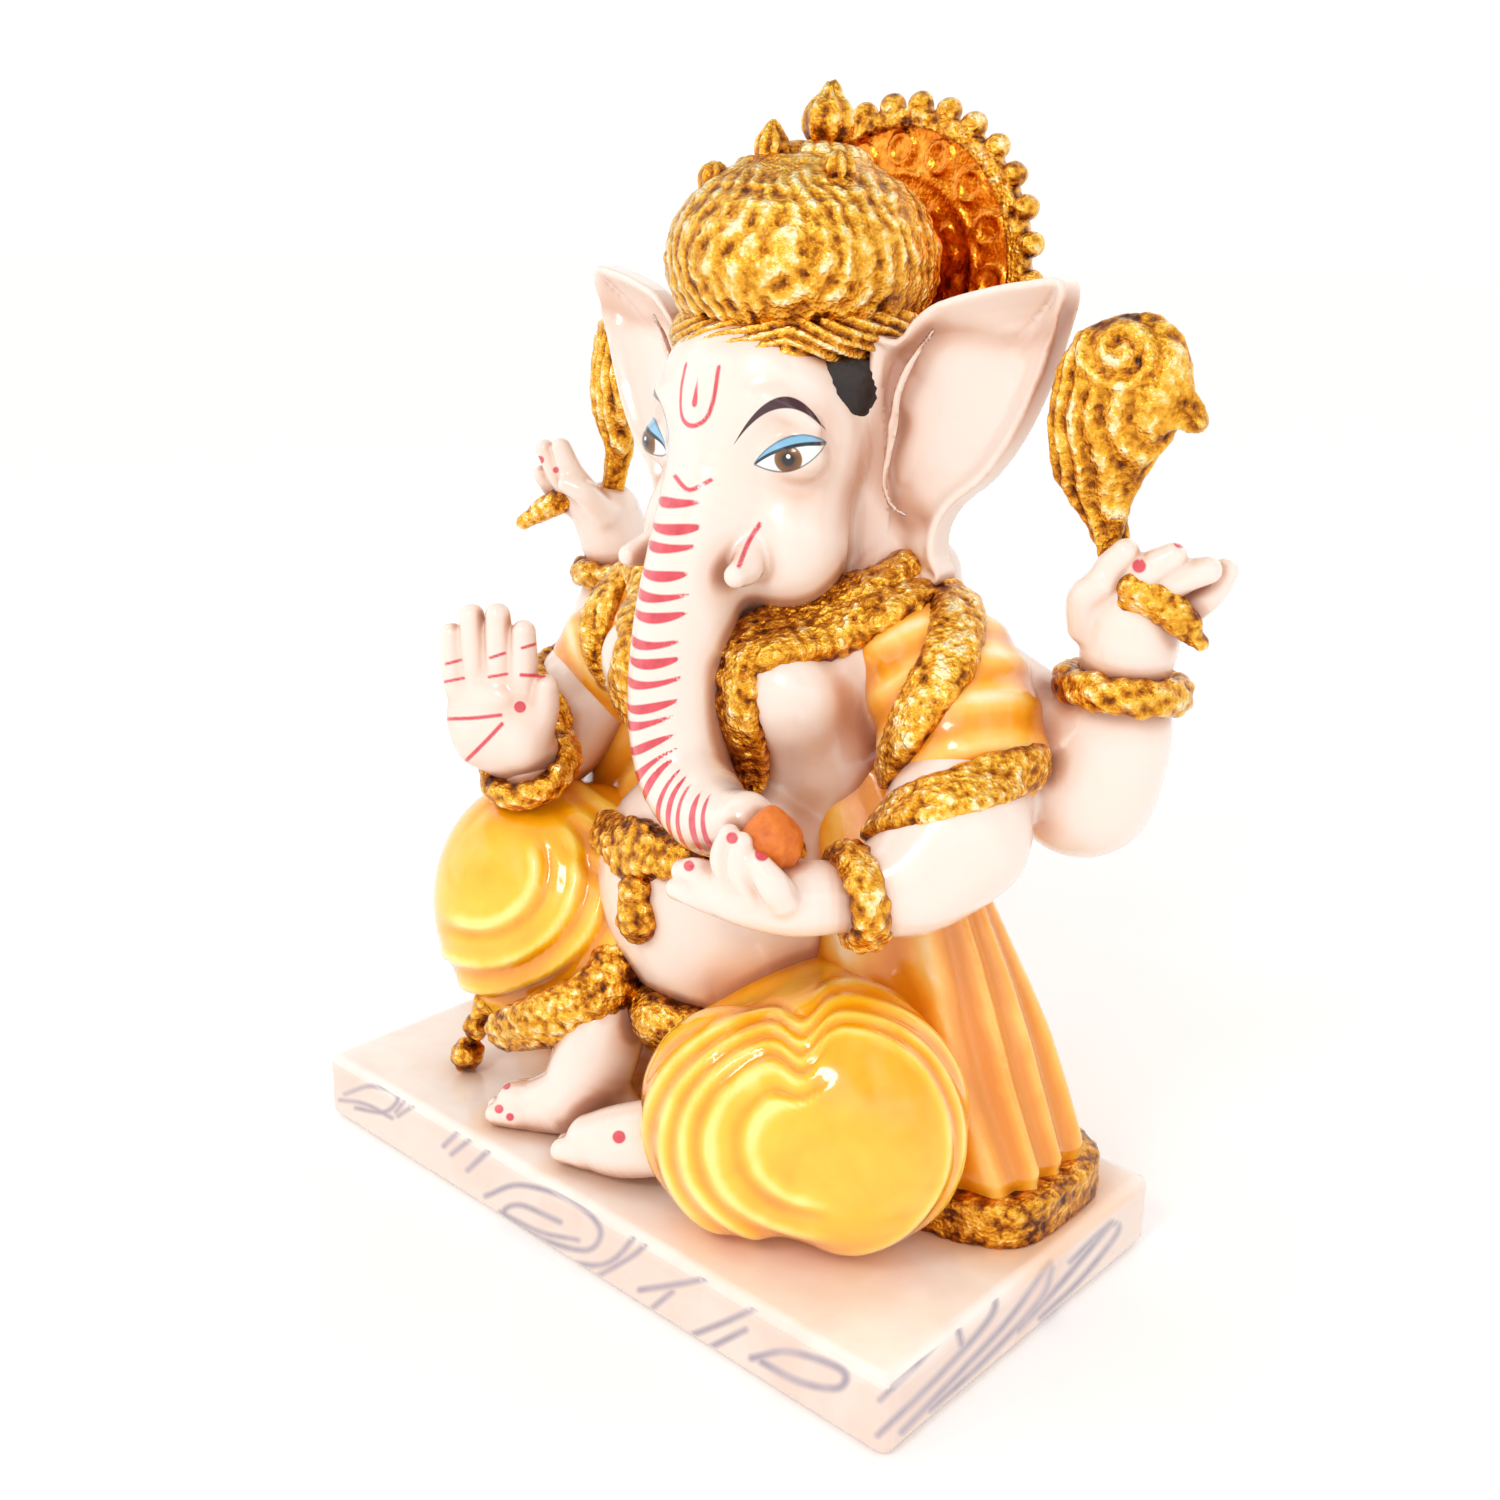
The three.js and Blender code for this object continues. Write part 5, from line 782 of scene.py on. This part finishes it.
# ------------------------------------------------------------------ finishes
def skin_mat(name, eyes=False):
    m = Mat(name); crease_shade = m.attr('crease_shade'); paint_ = m.attr('paint')
    n1 = m.noise(60, 3); n2 = m.noise(900, 2)
    # painted shade: the skin colour darkens to peach and brown where surfaces meet
    t = (crease_shade * 0.95 + (n1 - 0.5) * 0.22).clamp()
    col = m.ramp(t, [(0.0, hexc('F3E2D7')), (0.25, hexc('EED4C4')), (0.6, hexc('D9AC93')), (1.0, hexc('B8826A'))])
    if eyes:
        x, y, z = m.xyz(); x = x * 1000; y = y * 1000; z = z * 1000
        ax = x.abs(); u = (ax - 16.6) * 0.753 + (y + 0.9) * 0.647; v = z - 145.5
        face = y.below(9.5, .3)
        tt = u / 6.0; t2 = (1 - tt * tt).max(0); v0 = u * 0.30 + 0.35
        vL = v0 - t2 * 2.5; vU = v0 + t2 * 1.55; vT = v0 + t2.pow(0.8) * 3.1
        inside = u.abs().below(6.0, .15)
        white = (vL - v).below(0, .08) * (v - vU).below(0, .08) * inside * face
        lid = (vU - v).below(0, .08) * (v - vT).below(0, .12) * inside * face
        du = u + 0.3; dv = v + 0.2; r = (du * du + dv * dv).sqrt(); sp = ((u + 0.3) * (u + 0.3) + (v - 0.35) * (v - 0.35)).sqrt()
        col = m.mix(lid, col, hexc('86BEDF')); col = m.mix(white, col, hexc('F3FAFA'))
        iris = r.below(2.35, .12) * white; col = m.mix(iris, col, hexc('8A5A1C')); col = m.mix(r.below(1.75, .5) * white, col, hexc('5E3610'))
        # painted highlight: a white glint dot on the pupil
        col = m.mix(r.below(1.05, .1) * white, col, hexc('0C0806')); col = m.mix(sp.below(0.35, .08) * white, col, (1, 1, 1))
        line = (v - vU).abs().below(0.3, .08) * inside; line = line.max((v - vL).abs().below(0.16, .08) * inside * 0.75)
        line2 = (v - vT).abs().below(0.16, .08) * inside * 0.8
        col = m.mix(line * face, col, hexc('1F2A33')); col = m.mix(line2 * face, col, hexc('3A6F92'))
        vb = 9.0 - u * 0.196 - u * u * 0.1007; w = ((u + 1.8) / 7.9); th = ((1 - w * w).max(0)) * 0.95
        brow = ((v - vb).abs() - th).below(0, .1) * u.abs().below(9.6, .2) * face * u.below(6.0, .1) * th.op('GREATER_THAN', 0.02)
        col = m.mix(brow, col, hexc('3E0F1C'))
    pm = ((paint_ - 0.5) * 14 + 0.5).clamp()
    col = m.mix(pm * 0.94, col, m.ramp(m.noise(500, 3), [(0.3, hexc('CE0F30')), (0.7, hexc('E2364E'))]))
    m.set(Base_Color=col, Roughness=m_r(m, n1, 0.17, 0.10))
    m.b.inputs['Coat Weight'].default_value = 0.6; m.b.inputs['Coat Roughness'].default_value = 0.07
    m.b.inputs['Subsurface Weight'].default_value = 0.12; m.b.inputs['Subsurface Radius'].default_value = (0.004, 0.0022, 0.0014); m.b.inputs['Subsurface Scale'].default_value = 0.6
    m.L.new(m.bump(n1 * 0.6 + n2 * 0.12, 0.10, 0.0006), m.b.inputs['Normal'])
    return m.m

def m_r(m, n, base, amt): return (n * amt + (base - amt * 0.5)).o

def gold_mat(name, warm=0.0):
    m = Mat(name); c = m.attr('relief_light_shade'); occ = m.attr('occ'); n1 = m.noise(950, 4, .6); v = m.voro(1300); n3 = m.noise(260, 3, .55)
    # painted light and shade: dark in relief hollows and where parts meet, a near-white painted highlight on the raised
    # relief
    t = (c * 0.98 - occ * 0.26 + (n1 - 0.5) * 0.85 + (n3 - 0.5) * 0.7 + 0.04).clamp()
    col = m.ramp(t, ([(0.0, hexc('8A3C06')), (0.35, hexc('DD780F')), (0.6, hexc('F6982A')), (0.95, hexc('FFC65C'))] if warm else [(0.0, hexc('5A2606')), (0.2, hexc('A65E0C')), (0.42, hexc('E39A22')), (0.66, hexc('FBC24A')), (0.9, hexc('FFEDBA'))]))
    m.set(Base_Color=col, Roughness=((n1 * 0.2 + 0.05)).o)
    m.b.inputs['Metallic'].default_value = 1.0
    m.b.inputs['Coat Weight'].default_value = 0.25; m.b.inputs['Coat Roughness'].default_value = 0.1
    b = m.bump(n1 * 0.9 + v * 0.45, 0.3 if warm else 0.9, 0.0006)
    m.L.new(b, m.b.inputs['Normal']); return m.m

def cloth_mat(name, dark, mid, lite, hot, rough=.16, pearl=0.0):
    m = Mat(name); f = m.attr('fold'); occ = m.attr('occ'); n1 = m.noise(45, 3, .55, .6); n2 = m.noise(260, 3); n3 = m.noise(1000, 2)
    # painted light and shade: darker in fold grooves and where parts meet, lit up to the hot stop on fold ridges
    t = (f * 0.85 - occ * 0.5 + (n1 - 0.5) * 1.05 + (n2 - 0.5) * 0.25 + 0.08).clamp()
    col = m.ramp(t, [(0.0, hexc(dark)), (0.33, hexc(mid)), (0.66, hexc(lite)), (1.0, hexc(hot))])
    m.set(Base_Color=col, Roughness=(n1 * 0.14 + rough - 0.06).o)
    m.b.inputs['Coat Weight'].default_value = 0.8; m.b.inputs['Coat Roughness'].default_value = 0.06
    m.b.inputs['Subsurface Weight'].default_value = 0.1; m.b.inputs['Subsurface Radius'].default_value = (0.004, 0.002, 0.0006); m.b.inputs['Subsurface Scale'].default_value = 0.5
    m.L.new(m.bump(n2 * 0.7 + n3 * 0.15, 0.13, 0.0007), m.b.inputs['Normal']); return m.m

def plain_mat(name, lo, hi, rough, scale=400, strength=.3, metal=0):
    m = Mat(name); n1 = m.noise(scale, 4, .6); n2 = m.noise(scale * 0.15, 2)
    col = m.ramp((n1 * 0.6 + n2 * 0.4).clamp(), [(0.3, hexc(lo)), (0.7, hexc(hi))])
    m.set(Base_Color=col, Roughness=(n1 * 0.2 + rough).o); m.b.inputs['Metallic'].default_value = metal
    m.L.new(m.bump(n1, strength, 0.0006), m.b.inputs['Normal']); return m.m

def marble_mat(name):
    m = Mat(name); vein = m.attr('paint'); occ = m.attr('occ'); n1 = m.noise(28, 4, .55, .8); n2 = m.noise(180, 3)
    col = m.ramp((n1 * 0.8 + n2 * 0.2).clamp(), [(0.25, hexc('F3E2D6')), (0.5, hexc('FBF4EE')), (0.8, hexc('F0DFD4'))])
    # painted shade: the slab's side faces are darkened to a peach tone
    side = m.attr('side'); col = m.mix((side * 0.75 * (n1 * 1.3 + 0.2)).clamp(), col, hexc('E2C3B2'))
    pm = ((vein - 0.5) * 5 + 0.62).clamp() * (n2 * 0.5 + 0.62).clamp()
    col = m.mix(pm, col, m.ramp(n1, [(0.3, hexc('7C788C')), (0.7, hexc('B6A8B2'))]))
    # painted warm shade and reflected light from the figure on the slab top
    col = m.mix((occ * 0.62).clamp(), col, hexc('F2AE66'))
    m.set(Base_Color=col, Roughness=(n2 * 0.14 + 0.14).o); m.b.inputs['Coat Weight'].default_value = 0.4; m.b.inputs['Coat Roughness'].default_value = 0.08
    m.L.new(m.bump(n2, 0.12, 0.0006), m.b.inputs['Normal']); return m.m

SKIN = skin_mat('skin_gloss'); FACE = skin_mat('skin_face', eyes=True); GOLD = gold_mat('gold_leaf'); GOLDW = gold_mat('gold_warm', 1.0)
YELLOW = cloth_mat('yellow_gloss', 'F09602', 'FFB00E', 'FFCA30', 'FFEC88')
ORANGE = cloth_mat('orange_pearl', 'E88C10', 'FAA62A', 'FFC85C', 'FFEFC6', .2)
SWEET = plain_mat('sweet_glaze', 'C9560C', 'F08A28', .34, 500, .5)
HAIR = plain_mat('hair_gloss', '0E0705', '2A1712', .22, 350, .35)
MARBLE = marble_mat('marble_painted')

# ------------------------------------------------------------------ build every piece
group(['head', 'trunk', 'ear_left', 'ear_right', 'tusk_left', 'tusk_right'], [0, 5, 2.2, 2.2, 1.2, 1.2], 0.45, FACE, 'headgroup')
group(['torso', 'upper_arm_left_front', 'upper_arm_right_front', 'upper_arm_left_back', 'upper_arm_right_back', 'forearm_left_front', 'forearm_right_front', 'forearm_left_back', 'forearm_right_back'], [0, 4, 4, 4, 4, 5, 5, 5, 5], 0.7, SKIN)
for n in ('hand_left_front', 'hand_right_front', 'hand_left_back', 'hand_right_back'): skin_piece(n, 0.33, SKIN)
for n in ('foot_left', 'foot_right'): skin_piece(n, 0.4, SKIN)
BODY_ = ['torso', 'shawl_left', 'shawl_right', 'upper_arm_left_front', 'forearm_left_front', 'upper_arm_right_front', 'forearm_right_front', 'cloak']
def body_(p):
    d = np.full(len(p), FAR, F)
    for n in BODY_:
        g = N[n]; ix = np.nonzero(((p > g.lo - 9) & (p < g.hi + 9)).all(1))[0]
        if len(ix): d[ix] = np.minimum(d[ix], g(p[ix]))
    return d
_c0 = N['cloak']; _g = Sw([[-34, 18, 90, 8], [-40, 18, 80, 9], [-44, 18, 68, 9]])  # the cloak's fall behind the right arm
HEM_H = 9
_to, _he, _sd = N['torso'], N['head'], N['seat_dhoti']
def _cloak(p):
    d = smin(_c0(p), _g(p), 5)
    ix = np.nonzero((p[:, 1] > 14) & (p[:, 2] > 34) & (p[:, 2] < 122))[0]
    if len(ix):  # over the shoulders and up to the nape
        q = p[ix]; b = smin(_to(q), _he(q), 4) - 1.4
        d[ix] = smin(d[ix], smax(smax(b, 21 - q[:, 1], 2), q[:, 2] - 116 + 0.0025 * q[:, 0] ** 2, 2), 4)
    return d
N['cloak'] = Fn(_cloak, _c0.lo, [max(_c0.hi[0], 40), _c0.hi[1], 119])
N['seat_dhoti'] = Fn(lambda p: smax(_sd(p), p[:, 1] - 30, 2), _sd.lo, _sd.hi)
def flat_band(n, t, grow, core=2.2):
    g0 = N[n]; N[n] = Fn(lambda p: smin(smax(g0(p) - grow, body_(p) - t, 1.2), g0(p) + core, 1.5), g0.lo - grow, g0.hi + grow)
for n, t, gr in (('collar', 2.3, .7), ('necklace_drop_left', 2.3, .7), ('necklace_drop_right', 2.3, .7), ('shawl_left_lapel', 2.1, .7), ('shawl_right_lapel', 2.1, .6), ('shawl_left_border', 1.9, .7), ('shawl_right_border', 1.9, .6), ('waist_chain', 2.8, .5)): flat_band(n, t, gr)
for n in ('crown_band', 'crown_dome', 'halo_rim', 'halo_field'): gold_piece(n, {'halo_field': .6, 'crown_dome': .47}.get(n, .44), GOLDW if n == 'halo_field' else GOLD)
for n in ('crown_tier', 'crown_top_finial', 'crown_front_finial', 'crown_side_finial_left', 'crown_side_finial_right', 'bracelet_left_front', 'bracelet_right_front', 'bracelet_left_back', 'bracelet_right_back',
          'attribute_left', 'attribute_left_handle', 'attribute_right', 'attribute_right_handle', 'ankle_hem_right', 'tassel', 'collar', 'necklace_drop_left', 'necklace_drop_right', 'waist_chain', 'waist_pendant',
          'belt_buckle', 'shawl_left_lapel', 'shawl_left_border', 'shawl_right_lapel', 'shawl_right_border'): gold_piece(n, 0.42 if n == 'collar' else 0.36, GOLD)
gold_piece('cloak_hem', 0.7, GOLD)
for n in ('leg_left', 'leg_right', 'seat_dhoti'): cloth_piece(n, 0.9 if n == 'seat_dhoti' else 0.6, YELLOW)
for n in ('shawl_left', 'shawl_right', 'cloak'): cloth_piece(n, 0.85 if n == 'cloak' else 0.6, ORANGE)

V, Q = polygonise(N['modak'], N['modak'].lo, N['modak'].hi, 0.32 * RES); Nn = vnormals(V, Q)
a_ = np.arctan2(V[:, 1] + 24.5, V[:, 0] - 35); V2 = V + Nn * (0.25 * np.sin(a_ * 8) * sstep(92, 86, V[:, 2]) + 0.12 * fbm(V, 1.6, 2, 51))[:, None]
add_mesh('modak', V2, Q, vnormals(V2, Q), {'occ': crease(V, Nn)}, SWEET)
V, Q = polygonise(N['hair_band'], N['hair_band'].lo, N['hair_band'].hi, 0.7 * RES); Nn = vnormals(V, Q)
V2 = V + Nn * (0.12 * np.sin(V[:, 2] * 3.4 + 0.9 * V[:, 1] + 5 * fbm(V, 6, 2, 53)) + 0.08 * fbm(V, 1.5, 2, 52))[:, None]
add_mesh('hair_band', V2, Q, vnormals(V2, Q), {'occ': crease(V, Nn)}, HAIR)

def slab_veins(P, N):
    Qp = plan(P); k = VFOC / ((P - VC) @ VF); sd = np.full(len(P), 9.0)
    for pts, w in VEINS: sd = np.minimum(sd, seg_d(Qp, pts) / k - w * 1.05)
    return np.where((facing(P, N) > 0.05) & (N[:, 2] < 0.8), sd, back_veins(P, N))
VEINS = [([(345, 1094), (372, 1086), (398, 1096), (385, 1112), (356, 1108)], .35), ([(340, 1100), (365, 1104), (392, 1118)], .3), ([(398, 1116), (420, 1100), (412, 1092), (396, 1112)], .3),
 ([(444, 1146), (468, 1122)], .4), ([(452, 1154), (482, 1130)], .4), ([(468, 1170), (500, 1140)], .45),
 ([(486, 1196), (520, 1185), (570, 1200), (600, 1228), (588, 1250), (545, 1240), (505, 1215), (520, 1205), (560, 1222)], .42), ([(500, 1212), (540, 1232), (578, 1240)], .35),
 ([(560, 1262), (610, 1262), (650, 1215)], .4), ([(600, 1275), (640, 1250), (662, 1218)], .4), ([(640, 1290), (690, 1282), (735, 1270)], .45),
 ([(650, 1310), (672, 1292)], .4), ([(692, 1335), (730, 1320), (768, 1302)], .45), ([(705, 1350), (745, 1330)], .45),
 ([(752, 1358), (790, 1352), (842, 1370), (838, 1388), (800, 1382), (762, 1362)], .5),
 ([(878, 1435), (930, 1385), (985, 1325), (995, 1300), (975, 1302), (958, 1320), (962, 1345)], .4), ([(902, 1432), (960, 1372), (1010, 1318), (1050, 1262)], .4),
 ([(930, 1410), (985, 1360), (1040, 1300), (1052, 1268)], .38), ([(880, 1400), (930, 1350), (965, 1305)], .35), ([(1018, 1330), (1062, 1282), (1112, 1222)], .42), ([(1040, 1318), (1080, 1280), (1118, 1232), (1108, 1226), (1070, 1262)], .36)]
def back_veins(P, N):
    s = np.abs(P[:, 0] * 0.5 + P[:, 1] * 0.35 + P[:, 2] * 1.6 + 4 * fbm(P, 30, 2, 61)) % 17
    return np.where((N[:, 2] < 0.8) & ((P[:, 1] > 0) | (P[:, 0] < -70)), np.abs(s - 8) - 0.35, 9.0)
V, Q = polygonise(N['base_slab'], N['base_slab'].lo + 0.13, N['base_slab'].hi, 1.0)
def refine(V, Q, k, pick):
    """split the picked quads k by k, for painted lines finer than the sculpted form"""
    q = Q[pick]; keep = Q[~pick]; A = V[q]; s = np.linspace(0, 1, k + 1)
    u, v = np.meshgrid(s, s, indexing='ij'); W = np.stack([(1 - u) * (1 - v), u * (1 - v), u * v, (1 - u) * v], -1)
    G = np.einsum('ijc,ncd->nijd', W, A).reshape(-1, 3); m = (k + 1) ** 2; i, j = np.meshgrid(np.arange(k), np.arange(k), indexing='ij')
    b = (i * (k + 1) + j).ravel(); loc = np.stack([b, b + k + 1, b + k + 2, b + 1], 1)
    nq = (np.arange(len(q))[:, None, None] * m + loc[None]).reshape(-1, 4) + len(V)
    key = np.round(np.vstack([V, G]) * 2000).astype(np.int64); _, first, inv = np.unique(key, axis=0, return_index=True, return_inverse=True)
    return np.vstack([V, G])[first], inv.reshape(-1)[np.vstack([keep, nq])]
_n = vnormals(V, Q); _c = V[Q].mean(1); _s = (np.abs(_n[Q][:, :, 2]).max(1) < 0.3) & (_c[:, 1] < 20)
V, Q = refine(V, Q, 3, _s)
m_ = np.ones(len(V), bool); Nn = vnormals(V, Q); V = V + Nn * (0.10 * fbm(V, 9, 2, 71))[:, None] * (V[:, 2] > 1)[:, None]; V[:, 2] = np.maximum(V[:, 2], 0)
# oc: painted warm shade and reflected light on the slab top near the legs, feet and hem
oc = np.zeros(len(V)); top = V[:, 2] > 12
def near(p):
    d = np.full(len(p), FAR, F)
    for n in ('leg_left', 'leg_right', 'foot_left', 'foot_right', 'cloak_hem', 'seat_dhoti', 'tassel'):
        g = N[n]; ix = np.nonzero(((p > g.lo - 9) & (p < g.hi + 9)).all(1))[0]
        if len(ix): d[ix] = np.minimum(d[ix], g(p[ix]))
    return d
oc[top] = np.clip(1 - chunk(near, V[top]) / 5.5, 0, 1) ** 1.6
# the side attribute is painted shade on the slab's side faces
add_mesh('base_slab', V, Q, vnormals(V, Q), {'paint': ramp(slab_veins(V, Nn)), 'occ': oc, 'side': np.clip(1 - Nn[:, 2], 0, 1)}, MARBLE)

# ------------------------------------------------------------------ floor, light and camera
sc = bpy.context.scene
bpy.ops.mesh.primitive_plane_add(size=60.0, location=(0, 0, -0.0002)); floor = bpy.context.object; floor.name = 'floor'
fm = Mat('floor_paper'); nz = fm.noise(30, 3); fm.set(Base_Color=fm.ramp(nz, [(0.3, (0.965, 0.965, 0.965)), (0.7, (0.985, 0.985, 0.985))]), Roughness=(nz * 0.1 + 0.8).o)
fm.b.inputs['Emission Color'].default_value = (1, 1, 1, 1); fm.b.inputs['Emission Strength'].default_value = 0.06; floor.data.materials.append(fm.m)

w = bpy.data.worlds.new('studio'); sc.world = w; w.use_nodes = True; bg = w.node_tree.nodes['Background']
bg.inputs['Color'].default_value = (1.0, 0.985, 0.97, 1)
nt = w.node_tree; tcw = nt.nodes.new('ShaderNodeTexCoord'); sep = nt.nodes.new('ShaderNodeSeparateXYZ'); nz_ = nt.nodes.new('ShaderNodeTexNoise'); nz_.inputs['Scale'].default_value = 1.6; nz_.inputs['Detail'].default_value = 0
mr = nt.nodes.new('ShaderNodeMapRange'); mz = nt.nodes.new('ShaderNodeMapRange'); mx = nt.nodes.new('ShaderNodeMapRange')
nt.links.new(tcw.outputs['Generated'], sep.inputs[0]); nt.links.new(tcw.outputs['Generated'], nz_.inputs['Vector'])
nt.links.new(nz_.outputs['Fac'], mr.inputs['Value']); nt.links.new(sep.outputs['Z'], mz.inputs['Value']); nt.links.new(mz.outputs[0], mx.inputs['Value'])
for node, vals in ((mr, (0.42, 0.58, 0.6, 1.72)), (mz, (0.22, 0.5, 0.0, 1.0))):
    for key, val in zip(('From Min', 'From Max', 'To Min', 'To Max'), vals): node.inputs[key].default_value = val
mx.inputs['To Min'].default_value = 1.06; nt.links.new(mr.outputs[0], mx.inputs['To Max']); nt.links.new(mx.outputs[0], bg.inputs['Strength'])

def area(name, loc, target, size, power, col=(1, 1, 1)):
    L = bpy.data.lights.new(name, 'AREA'); L.shape = 'RECTANGLE'; L.size, L.size_y = size; L.energy = power; L.color = col
    o = bpy.data.objects.new(name, L); sc.collection.objects.link(o); o.location = loc
    d = np.array(target, float) - np.array(loc, float)
    from mathutils import Vector
    o.rotation_euler = Vector(d).to_track_quat('-Z', 'Y').to_euler()
    return o
area('key', (0.10, -0.62, 0.62), (0.0, 0, 0.10), (0.16, 0.16), 1.1, (1, 0.98, 0.95))
area('fill', (0.70, -0.10, 0.35), (0, 0, 0.10), (0.5, 0.5), 0.25)
area('top', (0.0, 0.05, 0.85), (0, 0, 0.1), (0.5, 0.5), 0.2)
area('left', (-0.60, -0.35, 0.30), (0, 0, 0.10), (0.4, 0.5), 0.3)

cam = bpy.data.cameras.new('cam'); co = bpy.data.objects.new('cam', cam); sc.collection.objects.link(co); sc.camera = co
from mathutils import Matrix
M = Matrix([[VR[0], VU[0], -VF[0], VC[0] * 0.001], [VR[1], VU[1], -VF[1], VC[1] * 0.001], [VR[2], VU[2], -VF[2], VC[2] * 0.001], [0, 0, 0, 1]])
co.matrix_world = M
cam.sensor_width = 36; cam.lens = VFOC / VSIZE * 36
cam.shift_x = (VSIZE / 2 - VX) / VSIZE; cam.shift_y = (VY - VSIZE / 2) / VSIZE
cam.clip_start = 0.01; cam.clip_end = 20
sc.view_settings.view_transform = 'Standard'

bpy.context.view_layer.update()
print('quads', sum(q for _, q in INFO), 'pieces', len(INFO), 'seconds', round(time.time() - T0, 1))
